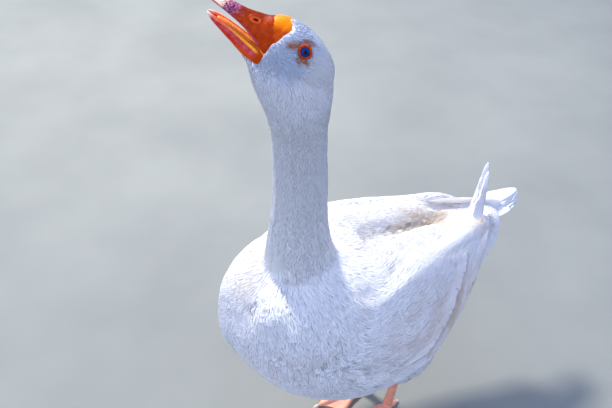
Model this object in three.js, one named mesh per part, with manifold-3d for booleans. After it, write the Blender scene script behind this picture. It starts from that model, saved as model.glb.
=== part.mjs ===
// A white domestic goose at life size, standing still with its neck upright, its head turned to its right and
// cocked to look up with the left eye, and its bill a little open.
// Millimetres, +Z up, facing -Y, its left side at +X. The feet stand on z = 0.
import * as THREE from "three";
import { mergeVertices } from "three/addons/utils/BufferGeometryUtils.js";
import Module from "manifold-3d";

const wasm = await Module();
wasm.setup();

// ---- Driving sizes ----------------------------------------------------------------------------------------------

const GAP = 0.3; // clearance between neighbouring pieces
const CENTRE_Y = -82.5; // shifts the bird so that its box is centred on the origin

const UP = new THREE.Vector3(0, 0, 1);
const FORWARD = new THREE.Vector3(0, -1, 0);

// Each lofted piece is a row of sections along a curve. A section has its place, and its half width, rise and drop.
// Trunk, from the front of the breast to the rump
const TRUNK = {
  ref: UP, rings: 20, around: 26, power: 2.45, blunt: 0.4,
  stations: [
    { at: [0, -221, 330], size: [0, 0, 0] },
    { at: [0, -190, 324], size: [90, 80, 64] },
    { at: [0, -111, 306], size: [128, 116, 112] },
    { at: [0, 10, 278], size: [135, 100, 138] },
    { at: [0, 132, 270], size: [99, 66, 98] },
    { at: [0, 228, 280], size: [64, 42, 74] },
    { at: [0, 292, 280], size: [44, 27, 52] },
    { at: [0, 322, 276], size: [0, 0, 0] },
  ],
};

// Head frame: its origin is midway between the eyes, its -Y points along the bill and its +Z to the crown
const HEAD_AT = [30, -127, 743];
const HEAD_TURN = { yaw: -54, pitch: -39, roll: -9 };
const HEAD = {
  ref: UP, rings: 14, around: 20, power: 2.1, blunt: 0.4,
  stations: [
    { at: [0, 48, -16], size: [0, 0, 0] },
    { at: [0, 39, -16], size: [19, 18, 20] },
    { at: [0, 20, -16], size: [27, 29, 32] },
    { at: [0, 0, -16], size: [29, 34, 36] },
    { at: [0, -18, -17], size: [27, 34.5, 36] },
    { at: [0, -32, -18], size: [20, 31.5, 29] },
    { at: [0, -42, -19], size: [0, 0, 0] },
  ],
};
// Neck, from inside the breast up to the throat, whose last sections are in the head frame and face its way,
// and where its three lengths part
const NECK = {
  around: 22, power: 2.05,
  stations: [
    { at: [0, -78, 335], size: [84, 86, 70] },
    { at: [1, -106, 388], size: [60, 60, 56] },
    { at: [4, -118, 445], size: [44, 44, 43] },
    { at: [8, -120, 510], size: [36, 36, 36] },
    { at: [13, -123, 575], size: [33.5, 34, 34], turned: 0.3 },
    { at: [17, -128, 632], size: [33.5, 34, 34], turned: 0.65 },
    { at: [0, 36, -62], size: [33, 37, 40], onHead: true },
    { at: [0, 18, -43], size: [31, 47, 44], onHead: true },
    { at: [0, 2, -24], size: [25, 54, 38], onHead: true },
  ],
};
const NECK_CUTS = [0, 0.32, 0.52, 1];
const BILL_UPPER = {
  ref: UP, rings: 12, around: 16, power: 2.4, blunt: 0.5,
  stations: [
    { at: [0, -22, -19], size: [0, 0, 0] },
    { at: [0, -29, -19.5], size: [18, 32.5, 12.5] },
    { at: [0, -42, -20.5], size: [16.6, 30, 10.5] },
    { at: [0, -54, -21], size: [15, 21.5, 6] },
    { at: [0, -74, -21.5], size: [12.8, 13.5, 2.8] },
    { at: [0, -95, -22.5], size: [11.6, 8.2, 2] },
    { at: [0, -108, -24], size: [9, 4, 1.6] },
    { at: [0, -113, -26.5], size: [0, 0, 0] },
  ],
};
const BILL_LOWER = {
  ref: UP, rings: 10, around: 14, power: 2.4, blunt: 0.5,
  stations: [
    { at: [0, -22, -42], size: [0, 0, 0] },
    { at: [0, -30, -41], size: [14.5, 6.5, 12.4] },
    { at: [0, -50, -40], size: [11.8, 5.2, 12.8] },
    { at: [0, -74, -40], size: [9.6, 5, 9.3] },
    { at: [0, -96, -40.5], size: [8.2, 3, 5.3] },
    { at: [0, -107, -40.8], size: [0, 0, 0] },
  ],
};
// Trough of the lower bill, and the tongue that lies in it
const TROUGH = {
  ref: UP, rings: 8, around: 10, power: 2.4,
  stations: [
    { at: [0, -26, -33], size: [0, 0, 0] },
    { at: [0, -40, -34.5], size: [10, 4, 7] },
    { at: [0, -76, -35], size: [7.2, 4, 6] },
    { at: [0, -103, -38.5], size: [0, 0, 0] },
  ],
};
const TONGUE = {
  ref: UP, rings: 8, around: 10, power: 2.2,
  stations: [
    { at: [0, -28, -37.5], size: [0, 0, 0] },
    { at: [0, -40, -37.5], size: [7.5, 3.4, 3.4] },
    { at: [0, -74, -37.5], size: [5.6, 2.6, 2.8] },
    { at: [0, -96, -38.4], size: [0, 0, 0] },
  ],
};
const EYE = { radius: 8, at: [18.8, -1.8, 1] };

// Left wing, folded, from the bend at the breast to the tips of its inner flight feathers
const WING = {
  ref: new THREE.Vector3(-0.3, 0, 1).normalize(), rings: 13, around: 12, power: 2.2,
  stations: [
    { at: [84, -150, 326], size: [0, 0, 0] },
    { at: [102, -122, 328], size: [22, 48, 50] },
    { at: [118, -30, 306], size: [28, 94, 72] },
    { at: [101, 70, 294], size: [28, 92, 58] },
    { at: [70, 160, 302], size: [24, 56, 42] },
    { at: [44, 232, 312], size: [15, 26, 22] },
    { at: [32, 262, 318], size: [0, 0, 0] },
  ],
};
// Shoulder feathers of the left side: the pad over the back that meets the other side's in a crease
const SCAPULARS = {
  ref: UP, rings: 10, around: 12, power: 2.3,
  stations: [
    { at: [50, -88, 384], size: [0, 0, 0] },
    { at: [50, -60, 376], size: [38, 24, 30] },
    { at: [50, 10, 366], size: [44, 30, 30] },
    { at: [46, 90, 342], size: [42, 30, 30] },
    { at: [36, 160, 326], size: [32, 22, 26] },
    { at: [26, 206, 316], size: [0, 0, 0] },
  ],
};
// Bundle of long outer flight feathers of each wing, from inside the wing to its tip. The left one is cocked up.
const PRIMARIES = {
  ref: UP, rings: 8, around: 10, power: 2,
  root: [54, 186, 316],
  sizes: [[0, 0, 0], [12, 24, 18], [8, 15, 12], [3.5, 7, 7], [0, 0, 0]],
  left: { bends: [[40, 218, 332], [24, 252, 354], [13, 276, 380]], tip: [9, 286, 394] },
  right: { bends: [[38, 220, 322], [14, 268, 314], [-2, 306, 306]], tip: [-8, 332, 300] },
};
const TAIL = {
  ref: UP, rings: 9, around: 14, power: 2.6,
  stations: [
    { at: [0, 250, 296], size: [0, 0, 0] },
    { at: [0, 268, 294], size: [34, 18, 16] },
    { at: [0, 320, 292], size: [27, 7, 7] },
    { at: [0, 368, 292], size: [21, 2.5, 2.5] },
    { at: [0, 386, 292], size: [0, 0, 0] },
  ],
};

// Legs: where each hip, hock and foot is, and how far the foot toes out
const LEGS = [
  { side: "left", hip: [84, 24, 214], hock: [43, 73, 122], hub: [33, 52], turn: 12 },
  { side: "right", hip: [-84, 22, 214], hock: [-42, 71, 122], hub: [-31, 50], turn: -12 },
];
const THIGH = { ref: FORWARD, rings: 8, around: 12, power: 2.1, sizes: [[0, 0, 0], [44, 64, 54], [22, 25, 27], [0, 0, 0]] };
const SHANK = {
  ref: FORWARD, rings: 9, around: 10, power: 2,
  sizes: [[0, 0, 0], [9.5, 10, 11], [6.5, 7, 8], [6.5, 7, 8], [8.5, 9, 9], [0, 0, 0]],
};
const ANKLE_Z = 16;
const TOE = { rings: 6, around: 8, power: 2, ref: UP, height: [9, 6, 4.5, 3.5], half: [8, 5.2, 4.8] };
const TOES = [
  { name: "inner", angle: -30, length: 70 },
  { name: "middle", angle: 0, length: 88 },
  { name: "outer", angle: 28, length: 82 },
  { name: "hind", angle: 165, length: 24 },
];
const WEB = { low: 1.2, thick: 2.2, reach: 0.94, hollow: 0.82 };
const CLAW = { length: 10, half: 2.6 };

const COLOURS = {
  feather: [0xf4f3ee, 0.85],
  bill: [0xe8701c, 0.45],
  mouth: [0xe8605a, 0.4],
  eye: [0x2c5fa8, 0.1],
  leg: [0xe98a5c, 0.6],
  claw: [0xd8c3a6, 0.4],
};

// ---- Ways of making a solid --------------------------------------------------------------------------------------

function solidOf(geometry) {
  const bare = geometry.clone();
  bare.deleteAttribute("normal");
  bare.deleteAttribute("uv");
  const merged = mergeVertices(bare, 1e-4);
  const vertProperties = new Float32Array(merged.attributes.position.array);
  const make = (triVerts) => new wasm.Manifold(new wasm.Mesh({ numProp: 3, vertProperties, triVerts }));
  const made = make(new Uint32Array(merged.index.array));
  return made.volume() > 0 ? made : make(new Uint32Array(merged.index.array).reverse());
}

// A superellipse's unit coordinate: sharper corners as the power grows.
const squared = (value, power) => Math.sign(value) * Math.abs(value) ** (2 / power);

// Where along the sizes a place t lies: with blunt over 0 the first and last span swell early, so the ends are round.
function rounded(t, spans, blunt) {
  const fromEnd = Math.min(t, 1 - t) * spans;
  if (fromEnd >= 1) return t;
  const swollen = THREE.MathUtils.lerp(fromEnd, Math.sqrt(fromEnd * (2 - fromEnd)), blunt) / spans;
  return t < 0.5 ? swollen : 1 - swollen;
}

// A solid lofted through sections: a ball, or a cylinder where the ends are flat, whose vertices move to the sections.
// Each section has a half width to the side, and a rise and a drop along the reference direction.
function loft({ stations, ref, rings, around, power, grow = 0, blunt = 0, flat = false, from = 0, to = 1 }) {
  const path = new THREE.CatmullRomCurve3(stations.map((s) => new THREE.Vector3(...s.at)));
  const sizes = stations.map((s) => new THREE.Vector3(...s.size));
  const size = new THREE.CatmullRomCurve3(sizes, false, "catmullrom", 0.5);
  const refs = new THREE.CatmullRomCurve3(stations.map((s) => s.ref ?? ref));
  const spans = stations.length - 1;
  const geometry = flat
    ? new THREE.CylinderGeometry(1, 1, 1, around, rings)
    : new THREE.SphereGeometry(1, around, rings);
  const place = geometry.attributes.position;
  for (let i = 0; i < place.count; i++) {
    const [x, y, z] = [place.getX(i), place.getY(i), place.getZ(i)];
    const share = flat ? 0.5 - y : Math.acos(THREE.MathUtils.clamp(y, -1, 1)) / Math.PI;
    const reach = flat ? Math.min(1, Math.hypot(x, z)) : share < 1e-6 || share > 1 - 1e-6 ? 0 : 1;
    const angle = Math.atan2(z, x);
    const t = from + (to - from) * share;
    const along = path.getTangent(t);
    const up = refs.getPoint(t);
    up.addScaledVector(along, -up.dot(along)).normalize();
    const side = along.clone().cross(up);
    const half = size.getPoint(rounded(t, spans, blunt));
    const across = squared(Math.cos(angle), power) * (half.x + grow) * reach;
    const rise = squared(Math.sin(angle), power);
    const lift = rise * ((rise > 0 ? half.y : half.z) + grow) * reach;
    const at = path.getPoint(t).addScaledVector(side, across).addScaledVector(up, lift);
    if (!flat && reach === 0) at.addScaledVector(along, share < 0.5 ? -grow : grow);
    place.setXYZ(i, at.x, at.y, at.z);
  }
  return solidOf(geometry);
}

// The space that a loft and the clearance round it take up.
const roomOf = (form) => loft({ ...form, grow: GAP });

// The same solid on the other side of the body.
const mirrored = (solid) => solid.mirror([1, 0, 0]);

const joined = (solids) => solids.reduce((sum, next) => sum.add(next));

const stationsOf = (places, sizes) => places.map((at, i) => ({ at, size: sizes[i] }));

const blend = (a, b, share) => a.map((value, i) => value + (b[i] - value) * share);

function meshOf(name, solid, look) {
  const data = solid.getMesh();
  const points = new Float32Array(data.numVert * 3);
  for (let i = 0; i < data.numVert; i++) {
    const first = i * data.numProp;
    points.set(data.vertProperties.subarray(first, first + 3), i * 3);
  }
  const geometry = new THREE.BufferGeometry();
  geometry.setAttribute("position", new THREE.BufferAttribute(points, 3));
  geometry.setIndex(new THREE.BufferAttribute(data.triVerts, 1));
  geometry.computeVertexNormals();
  const [color, roughness] = look;
  const mesh = new THREE.Mesh(geometry, new THREE.MeshStandardMaterial({ color, roughness, metalness: 0 }));
  mesh.name = name;
  return mesh;
}

const goose = new THREE.Group();
goose.position.y = CENTRE_Y;

// ---- Head --------------------------------------------------------------------------------------------------------

const headFrame = new THREE.Group();
headFrame.position.set(...HEAD_AT);
const { degToRad } = THREE.MathUtils;
headFrame.rotation.set(degToRad(HEAD_TURN.pitch), degToRad(HEAD_TURN.roll), degToRad(HEAD_TURN.yaw), "ZXY");
headFrame.updateMatrix();
goose.add(headFrame);

const eyeBall = (side, radius) => {
  const ball = new THREE.SphereGeometry(radius, 12, 8);
  ball.rotateZ(Math.PI / 2);
  return solidOf(ball.translate(side * EYE.at[0], EYE.at[1], EYE.at[2]));
};
const forward = FORWARD.clone().transformDirection(headFrame.matrix);
const neckForm = {
  ...NECK,
  flat: true,
  stations: NECK.stations.map(({ at, size, onHead, turned = 0 }) => {
    if (!onHead) return { at, size, ref: FORWARD.clone().applyAxisAngle(UP, degToRad(HEAD_TURN.yaw) * turned) };
    return { at: new THREE.Vector3(...at).applyMatrix4(headFrame.matrix).toArray(), size, ref: forward };
  }),
};
const headRoom = roomOf(HEAD);
const throatRoom = loft({ ...neckForm, rings: 18, grow: GAP }).transform(headFrame.matrix.clone().invert().elements);
const featherRoom = headRoom.add(throatRoom);
const upperRoom = roomOf(BILL_UPPER);
const billLower = loft(BILL_LOWER).subtract(loft(TROUGH)).subtract(roomOf(TONGUE));
const sockets = eyeBall(1, EYE.radius + GAP).add(eyeBall(-1, EYE.radius + GAP));
headFrame.add(meshOf("head", loft(HEAD).subtract(sockets), COLOURS.feather));
headFrame.add(meshOf("eye_left", eyeBall(1, EYE.radius), COLOURS.eye));
headFrame.add(meshOf("eye_right", eyeBall(-1, EYE.radius), COLOURS.eye));
headFrame.add(meshOf("bill_upper", loft(BILL_UPPER).subtract(featherRoom), COLOURS.bill));
headFrame.add(meshOf("bill_lower", billLower.subtract(featherRoom).subtract(upperRoom), COLOURS.bill));
headFrame.add(meshOf("tongue", loft(TONGUE).subtract(featherRoom).subtract(upperRoom), COLOURS.mouth));

// ---- Trunk and neck ----------------------------------------------------------------------------------------------

const trunkRoom = roomOf(TRUNK);
goose.add(meshOf("trunk", loft(TRUNK), COLOURS.feather));

const headRoomInBody = headRoom.transform(headFrame.matrix.elements);
const NECK_GAP = 0.0006; // share of the neck's length left open between two lengths
["neck_lower", "neck_middle", "neck_upper"].forEach((name, i) => {
  const [from, to] = [NECK_CUTS[i], NECK_CUTS[i + 1] - (i < 2 ? NECK_GAP : 0)];
  const piece = loft({ ...neckForm, rings: i < 2 ? 5 : 8, from, to });
  goose.add(meshOf(name, piece.subtract(trunkRoom).subtract(headRoomInBody), COLOURS.feather));
});

// ---- Wings and tail ----------------------------------------------------------------------------------------------

const wing = loft(WING).add(loft(SCAPULARS)).subtract(trunkRoom);
const wingRoom = roomOf(WING).add(roomOf(SCAPULARS));
const wingRooms = wingRoom.add(mirrored(wingRoom));
goose.add(meshOf("wing_left", wing, COLOURS.feather));
goose.add(meshOf("wing_right", mirrored(wing), COLOURS.feather));

const primariesForm = (side) => {
  const { bends, tip } = PRIMARIES[side];
  return { ...PRIMARIES, stations: stationsOf([PRIMARIES.root, ...bends, tip], PRIMARIES.sizes) };
};
const primariesLeft = loft(primariesForm("left")).subtract(trunkRoom).subtract(wingRooms);
const primariesRight = mirrored(loft(primariesForm("right"))).subtract(trunkRoom).subtract(wingRooms);
const primariesRooms = roomOf(primariesForm("left")).add(mirrored(roomOf(primariesForm("right"))));
goose.add(meshOf("primaries_left", primariesLeft, COLOURS.feather));
goose.add(meshOf("primaries_right", primariesRight.subtract(roomOf(primariesForm("left"))), COLOURS.feather));

const tail = loft(TAIL).subtract(trunkRoom).subtract(wingRooms).subtract(primariesRooms);
goose.add(meshOf("tail", tail, COLOURS.feather));

// ---- Legs --------------------------------------------------------------------------------------------------------

const belowFloor = solidOf(new THREE.BoxGeometry(600, 600, 100).translate(0, 0, -50));

// A toe along -Y from the foot's hub, its underside cut flat by the floor later
const toeForm = ({ length }, grow = 0) => {
  const [root, middle, knuckle, tip] = TOE.height;
  const [wide, slim, end] = TOE.half;
  const places = [[0, 8, root], [0, 0, root], [0, -length * 0.5, middle], [0, -length * 0.86, knuckle], [0, -length, tip]];
  const sizes = [[0, 0, 0], [wide, wide, root + 2], [slim, slim, middle + 2], [end, end, knuckle + 2], [0, 0, 0]];
  return { ...TOE, stations: stationsOf(places, sizes), grow };
};

// A claw that grows out of the toe's end and points a little down
const clawForm = ({ length }) => {
  const base = -length + CLAW.length * 0.6;
  const places = [[0, base, 5], [0, base - 3, 5], [0, -length - 3, 4.2], [0, -length - CLAW.length * 0.7, 1.2]];
  const sizes = [[0, 0, 0], [CLAW.half, CLAW.half, CLAW.half], [2, 1.8, 1.8], [0, 0, 0]];
  return { ref: UP, rings: 4, around: 6, power: 2, stations: stationsOf(places, sizes) };
};

const atAngle = (angle, length) => {
  const turn = degToRad(angle);
  return new THREE.Vector2(Math.sin(turn) * length, -Math.cos(turn) * length);
};

// The web: a thin slab whose front edge sags back between the toes
function webSolid(side) {
  const [inner, middle, outer] = TOES.map((toe) => atAngle(toe.angle * side, toe.length * WEB.reach));
  const sag = (a, b) => a.clone().add(b).multiplyScalar(0.5 * WEB.hollow);
  const outline = new THREE.Shape([new THREE.Vector2(0, 4)]);
  outline.lineTo(inner.x, inner.y);
  outline.quadraticCurveTo(...sag(inner, middle).toArray(), middle.x, middle.y);
  outline.quadraticCurveTo(...sag(middle, outer).toArray(), outer.x, outer.y);
  outline.closePath();
  const slab = new THREE.ExtrudeGeometry(outline, { depth: WEB.thick, bevelEnabled: false, curveSegments: 4 });
  return solidOf(slab.translate(0, 0, WEB.low));
}

for (const { side, hip, hock, hub, turn } of LEGS) {
  const outward = side === "left" ? 1 : -1;
  const ankle = [hub[0], hub[1] + 3, ANKLE_Z];
  const [top, knee] = [blend(hip, hock, 0.36), blend(hip, hock, 0.86)];
  const thighForm = { ...THIGH, stations: stationsOf([hip, top, knee, blend(hip, hock, 1.12)], THIGH.sizes) };
  const below = blend(hock, ankle, 0.06);
  const places = [blend(hip, hock, 0.97), below, blend(hock, ankle, 0.35), blend(hock, ankle, 0.7), ankle];
  const shankForm = { ...SHANK, stations: stationsOf([...places, [hub[0], hub[1], 6]], SHANK.sizes) };

  const placed = (solid) => solid.rotate([0, 0, turn]).translate([hub[0], hub[1], 0]);
  const turned = (solid, toe) => solid.rotate([0, 0, toe.angle * outward]);
  const toes = joined(TOES.map((toe) => turned(loft(toeForm(toe)), toe)));
  const toesRoom = joined(TOES.map((toe) => turned(loft(toeForm(toe, GAP)), toe)));
  const foot = placed(toes.add(webSolid(outward))).subtract(belowFloor);
  const footRoom = placed(toesRoom);

  const shank = loft(shankForm).subtract(footRoom);
  const thigh = loft(thighForm).subtract(trunkRoom).subtract(roomOf(shankForm));
  goose.add(meshOf(`thigh_${side}`, thigh, COLOURS.feather));
  goose.add(meshOf(`shank_${side}`, shank, COLOURS.leg));
  goose.add(meshOf(`foot_${side}`, foot, COLOURS.leg));
  for (const toe of TOES) {
    const claw = placed(turned(loft(clawForm(toe)), toe)).subtract(footRoom).subtract(belowFloor);
    goose.add(meshOf(`claw_${toe.name}_${side}`, claw, COLOURS.claw));
  }
}

export default goose;
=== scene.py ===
"""A life-size domestic goose that stands with its head raised and its bill ajar.

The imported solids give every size. Round them go one skin, the plumage in laid vanes, the quills of wings
and tail, a horn bill with its mouth, two eyes in their rings, and bare legs with webbed feet.
"""
import math

import bmesh
import bpy
import numpy as np
from mathutils import Matrix, Vector, noise
from mathutils.bvhtree import BVHTree


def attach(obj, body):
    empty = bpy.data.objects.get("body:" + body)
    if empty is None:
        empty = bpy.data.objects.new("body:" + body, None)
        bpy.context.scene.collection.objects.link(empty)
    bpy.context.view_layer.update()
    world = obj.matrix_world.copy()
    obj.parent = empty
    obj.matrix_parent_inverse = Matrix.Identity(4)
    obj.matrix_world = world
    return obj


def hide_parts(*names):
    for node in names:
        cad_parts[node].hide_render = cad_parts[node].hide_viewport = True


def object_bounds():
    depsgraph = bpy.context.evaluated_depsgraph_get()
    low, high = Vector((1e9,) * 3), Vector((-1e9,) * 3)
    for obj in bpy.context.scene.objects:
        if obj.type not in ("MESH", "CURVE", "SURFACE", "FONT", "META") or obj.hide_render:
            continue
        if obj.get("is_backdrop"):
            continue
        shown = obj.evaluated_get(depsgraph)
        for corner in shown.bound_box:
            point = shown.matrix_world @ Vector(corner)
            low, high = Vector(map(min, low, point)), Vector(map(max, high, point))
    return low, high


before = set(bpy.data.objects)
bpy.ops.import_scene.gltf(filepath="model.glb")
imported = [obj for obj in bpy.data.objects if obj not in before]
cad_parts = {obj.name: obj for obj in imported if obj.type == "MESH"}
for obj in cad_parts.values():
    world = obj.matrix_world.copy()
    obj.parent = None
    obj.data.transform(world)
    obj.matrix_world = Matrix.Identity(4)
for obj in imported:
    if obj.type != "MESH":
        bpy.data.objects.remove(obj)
cad_box = [list(corner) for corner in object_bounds()]
MM = 0.001

# ---------------------------------------------------------------- room, camera and light
# A plain pale floor runs far past the bird on every side. A small warm lamp stands high on the bird's right,
# a little behind it, and a wide dim lamp and a cool sky fill the near side. The camera looks down on the
# raised head.

LOOK_AT = Vector((0.054, -0.2325, 0.556))
BEARING, HEIGHT_ANGLE, CAMERA_REACH = math.radians(48.5), math.radians(37), 1.01
towards_camera = Vector((
    math.cos(HEIGHT_ANGLE) * math.sin(BEARING),
    -math.cos(HEIGHT_ANGLE) * math.cos(BEARING),
    math.sin(HEIGHT_ANGLE),
))
camera = bpy.data.objects.new("camera", bpy.data.cameras.new("camera"))
camera.data.lens, camera.data.sensor_width = 50, 36
camera.location = LOOK_AT + CAMERA_REACH * towards_camera
camera.rotation_euler = towards_camera.to_track_quat("Z", "Y").to_euler()
bpy.context.scene.collection.objects.link(camera)
bpy.context.scene.camera = camera

MIDDLE_OF_BIRD = Vector((0, -0.05, 0.4))


def soft_lamp(name, stands, size, power, colour):
    """A square lamp that faces the middle of the bird."""
    lamp = bpy.data.objects.new(name, bpy.data.lights.new(name, "AREA"))
    lamp.data.size, lamp.data.energy, lamp.data.color = size, power, colour
    lamp.location = stands
    lamp.rotation_euler = (Vector(stands) - MIDDLE_OF_BIRD).to_track_quat("Z", "Y").to_euler()
    bpy.context.scene.collection.objects.link(lamp)


soft_lamp("key_lamp", (-2.2, 0.34, 3.05), 0.5, 240, (1.0, 0.95, 0.86))
soft_lamp("fill_lamp", (1.5, -2.7, 2.3), 2.4, 27, (0.90, 0.91, 0.98))

world = bpy.data.worlds.new("sky")
world.use_nodes = True
world.node_tree.nodes["Background"].inputs["Color"].default_value = (0.52, 0.63, 1.0, 1)
world.node_tree.nodes["Background"].inputs["Strength"].default_value = 1.5
bpy.context.scene.world = world
bpy.context.scene.view_settings.view_transform = "Standard"


def node(tree, kind, sockets=None, **settings):
    """One node of a tree, with its settings, and its inputs by name or number as values or links."""
    made = tree.nodes.new(kind)
    for key, value in settings.items():
        setattr(made, key, value)
    for key, value in (sockets or {}).items():
        if isinstance(value, bpy.types.NodeSocket):
            tree.links.new(value, made.inputs[key])
        else:
            made.inputs[key].default_value = value
    return made


def finish(name, roughness, **fixed):
    """A material with its Principled shader, whose even values sit on the shader's own sockets."""
    material = bpy.data.materials.new(name)
    material.use_nodes = True
    shader = material.node_tree.nodes["Principled BSDF"]
    shader.inputs["Roughness"].default_value = roughness
    for socket, value in fixed.items():
        shader.inputs[socket.replace("_", " ")].default_value = value
    return material, material.node_tree, shader


def mottle(tree, scale, where=None, detail=3.0, low=0.35, high=0.65, stretch=(1, 1, 1)):
    """Soft blotches from 0 to 1 on the piece's own coordinates, scale to the metre."""
    where = where or node(tree, "ShaderNodeTexCoord").outputs["Object"]
    drawn = node(tree, "ShaderNodeMapping", {"Vector": where, "Scale": stretch})
    cloud = node(tree, "ShaderNodeTexNoise", {"Vector": drawn.outputs[0], "Scale": scale, "Detail": detail})
    return node(tree, "ShaderNodeMapRange", {
        "Value": cloud.outputs["Fac"], "From Min": low, "From Max": high}).outputs["Result"]


def mixed(tree, share, first, second):
    """One colour passing into another by a share from 0 to 1."""
    sockets = {0: share, 6: first, 7: second}
    for key in (6, 7):
        if isinstance(sockets[key], tuple) and len(sockets[key]) == 3:
            sockets[key] = (*sockets[key], 1)
    return node(tree, "ShaderNodeMix", sockets, data_type="RGBA").outputs[2]


def coloured(tree, shader, colour):
    """Sends a colour to the shader."""
    tree.links.new(colour, shader.inputs["Base Color"])


def new_piece(name, points, faces, material=None, smooth=True):
    """An object in the row frame from points in metres."""
    mesh = bpy.data.meshes.new(name)
    mesh.from_pydata([tuple(p) for p in points], [], faces)
    mesh.polygons.foreach_set("use_smooth", [smooth] * len(mesh.polygons))
    if material:
        mesh.materials.append(material)
    piece = bpy.data.objects.new(name, mesh)
    bpy.context.scene.collection.objects.link(piece)
    return piece


FLOOR_REACH = 30
floor_finish, tree, shader = finish("floor", 0.9)
coloured(tree, shader, mixed(tree, mottle(tree, 3), (0.17, 0.18, 0.165), (0.20, 0.21, 0.19)))
corners = [(x * FLOOR_REACH, y * FLOOR_REACH, 0) for x, y in ((-1, -1), (1, -1), (1, 1), (-1, 1))]
floor = new_piece("floor", corners, [(0, 1, 2, 3)], floor_finish)
floor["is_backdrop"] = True

# ---------------------------------------------------------------- skin
# The flesh of a goose under its feathers is one closed skin from the bill's base to the thighs.
# The solids of flesh are joined and rounded into the outline of the feather tips, and the skin is that
# outline drawn in by the depth of the plumage, so it carries the whole coat and shows no seam.

FLESH = {
    "head": ["head"], "neck": ["neck_upper", "neck_middle", "neck_lower"], "trunk": ["trunk"],
    "wing_left": ["wing_left"], "wing_right": ["wing_right"], "thigh": ["thigh_left", "thigh_right"],
}
SKIN_VOXEL = 3.4 * MM
GAP_CLOSE = 0.8 * MM

HEAD_AT = Vector((0.030, -0.2095, 0.743))
HEAD_TURN = (Matrix.Rotation(math.radians(-54), 3, "Z") @ Matrix.Rotation(math.radians(-39), 3, "X")
             @ Matrix.Rotation(math.radians(-9), 3, "Y"))
HEAD_AXES = np.array(HEAD_TURN)


def to_head(points):
    """Points of the row frame in the head's own millimetres: left, forward and up."""
    own = (np.asarray(points, float) - np.array(HEAD_AT)) @ HEAD_AXES / MM
    own[..., 1] *= -1
    return own


def from_head(own):
    """Points in the head's own millimetres, left, forward and up, in the row frame."""
    own = np.array(own, float)
    own[..., 1] *= -1
    return own * MM @ HEAD_AXES.T + np.array(HEAD_AT)


def merged(name):
    """Points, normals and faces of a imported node, with its loose triangles joined."""
    shell = bmesh.new()
    shell.from_mesh(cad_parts[name].data)
    bmesh.ops.remove_doubles(shell, verts=shell.verts, dist=1e-6)
    shell.normal_update()
    points = np.array([v.co[:] for v in shell.verts])
    normals = np.array([v.normal[:] for v in shell.verts])
    faces = [tuple(v.index for v in f.verts) for f in shell.faces]
    shell.free()
    return points, normals, faces


def gathered(parts):
    """Several point and face lists as one."""
    points, faces, count = [], [], 0
    for part_points, part_faces in parts:
        points.append(np.asarray(part_points))
        faces += [tuple(i + count for i in f) for f in part_faces]
        count += len(part_points)
    return np.concatenate(points), faces


def evaluated_mesh(piece):
    """The plain mesh that a piece's modifiers make."""
    graph = bpy.context.evaluated_depsgraph_get()
    graph.update()
    return bpy.data.meshes.new_from_object(
        piece.evaluated_get(graph), preserve_all_data_layers=True, depsgraph=graph)


def discard(piece):
    """Takes a working object away with its mesh."""
    mesh = piece.data
    bpy.data.objects.remove(piece)
    bpy.data.meshes.remove(mesh)


def fused(parts, voxel):
    """Points and quads of closed shells that are joined into one by a voxel remesh."""
    points, faces = gathered(parts)
    rough = new_piece("rough", points, faces)
    remesh = rough.modifiers.new("fuse", "REMESH")
    remesh.mode, remesh.voxel_size, remesh.adaptivity = "VOXEL", voxel, 0
    mesh = evaluated_mesh(rough)
    joined = np.empty(len(mesh.vertices) * 3)
    mesh.vertices.foreach_get("co", joined)
    quads = [tuple(f.vertices) for f in mesh.polygons]
    bpy.data.meshes.remove(mesh)
    discard(rough)
    return joined.reshape(-1, 3), quads


def neighbours(faces, count):
    """A function that averages a field over each point's neighbours on a mesh."""
    pairs = np.array([(f[i], f[i - 1]) for f in faces for i in range(len(f))])
    ends = np.concatenate([pairs, pairs[:, ::-1]])
    degree = np.bincount(ends[:, 0], minlength=count)

    def average(field):
        field = np.asarray(field, float)
        columns = field.reshape(count, -1)
        total = [np.bincount(ends[:, 0], columns[ends[:, 1], k], count) for k in range(columns.shape[1])]
        return (np.stack(total, 1) / degree[:, None]).reshape(field.shape)

    return average


def eased(average, field, rounds, share=0.5):
    """A field that is smoothed over the mesh by a number of rounds."""
    for _ in range(rounds):
        field = (1 - share) * field + share * average(field)
    return field


def unit(vectors):
    """Directions of length 1."""
    return vectors / np.maximum(np.linalg.norm(vectors, axis=-1, keepdims=True), 1e-9)


def ramp(value, low, high):
    """0 below low, 1 above high and a smooth rise between; low may be the larger."""
    share = np.clip((np.asarray(value, float) - low) / (high - low), 0, 1)
    return share * share * (3 - 2 * share)


def point_normals(points, faces):
    """The way out at each point of a mesh of quads."""
    quads = np.array(faces)
    corner = points[quads]
    across = np.cross(corner[:, 2] - corner[:, 0], corner[:, 3] - corner[:, 1])
    total = np.zeros_like(points)
    for k in range(4):
        for axis in range(3):
            total[:, axis] += np.bincount(quads[:, k], across[:, axis], len(points))
    return unit(total)


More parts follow.
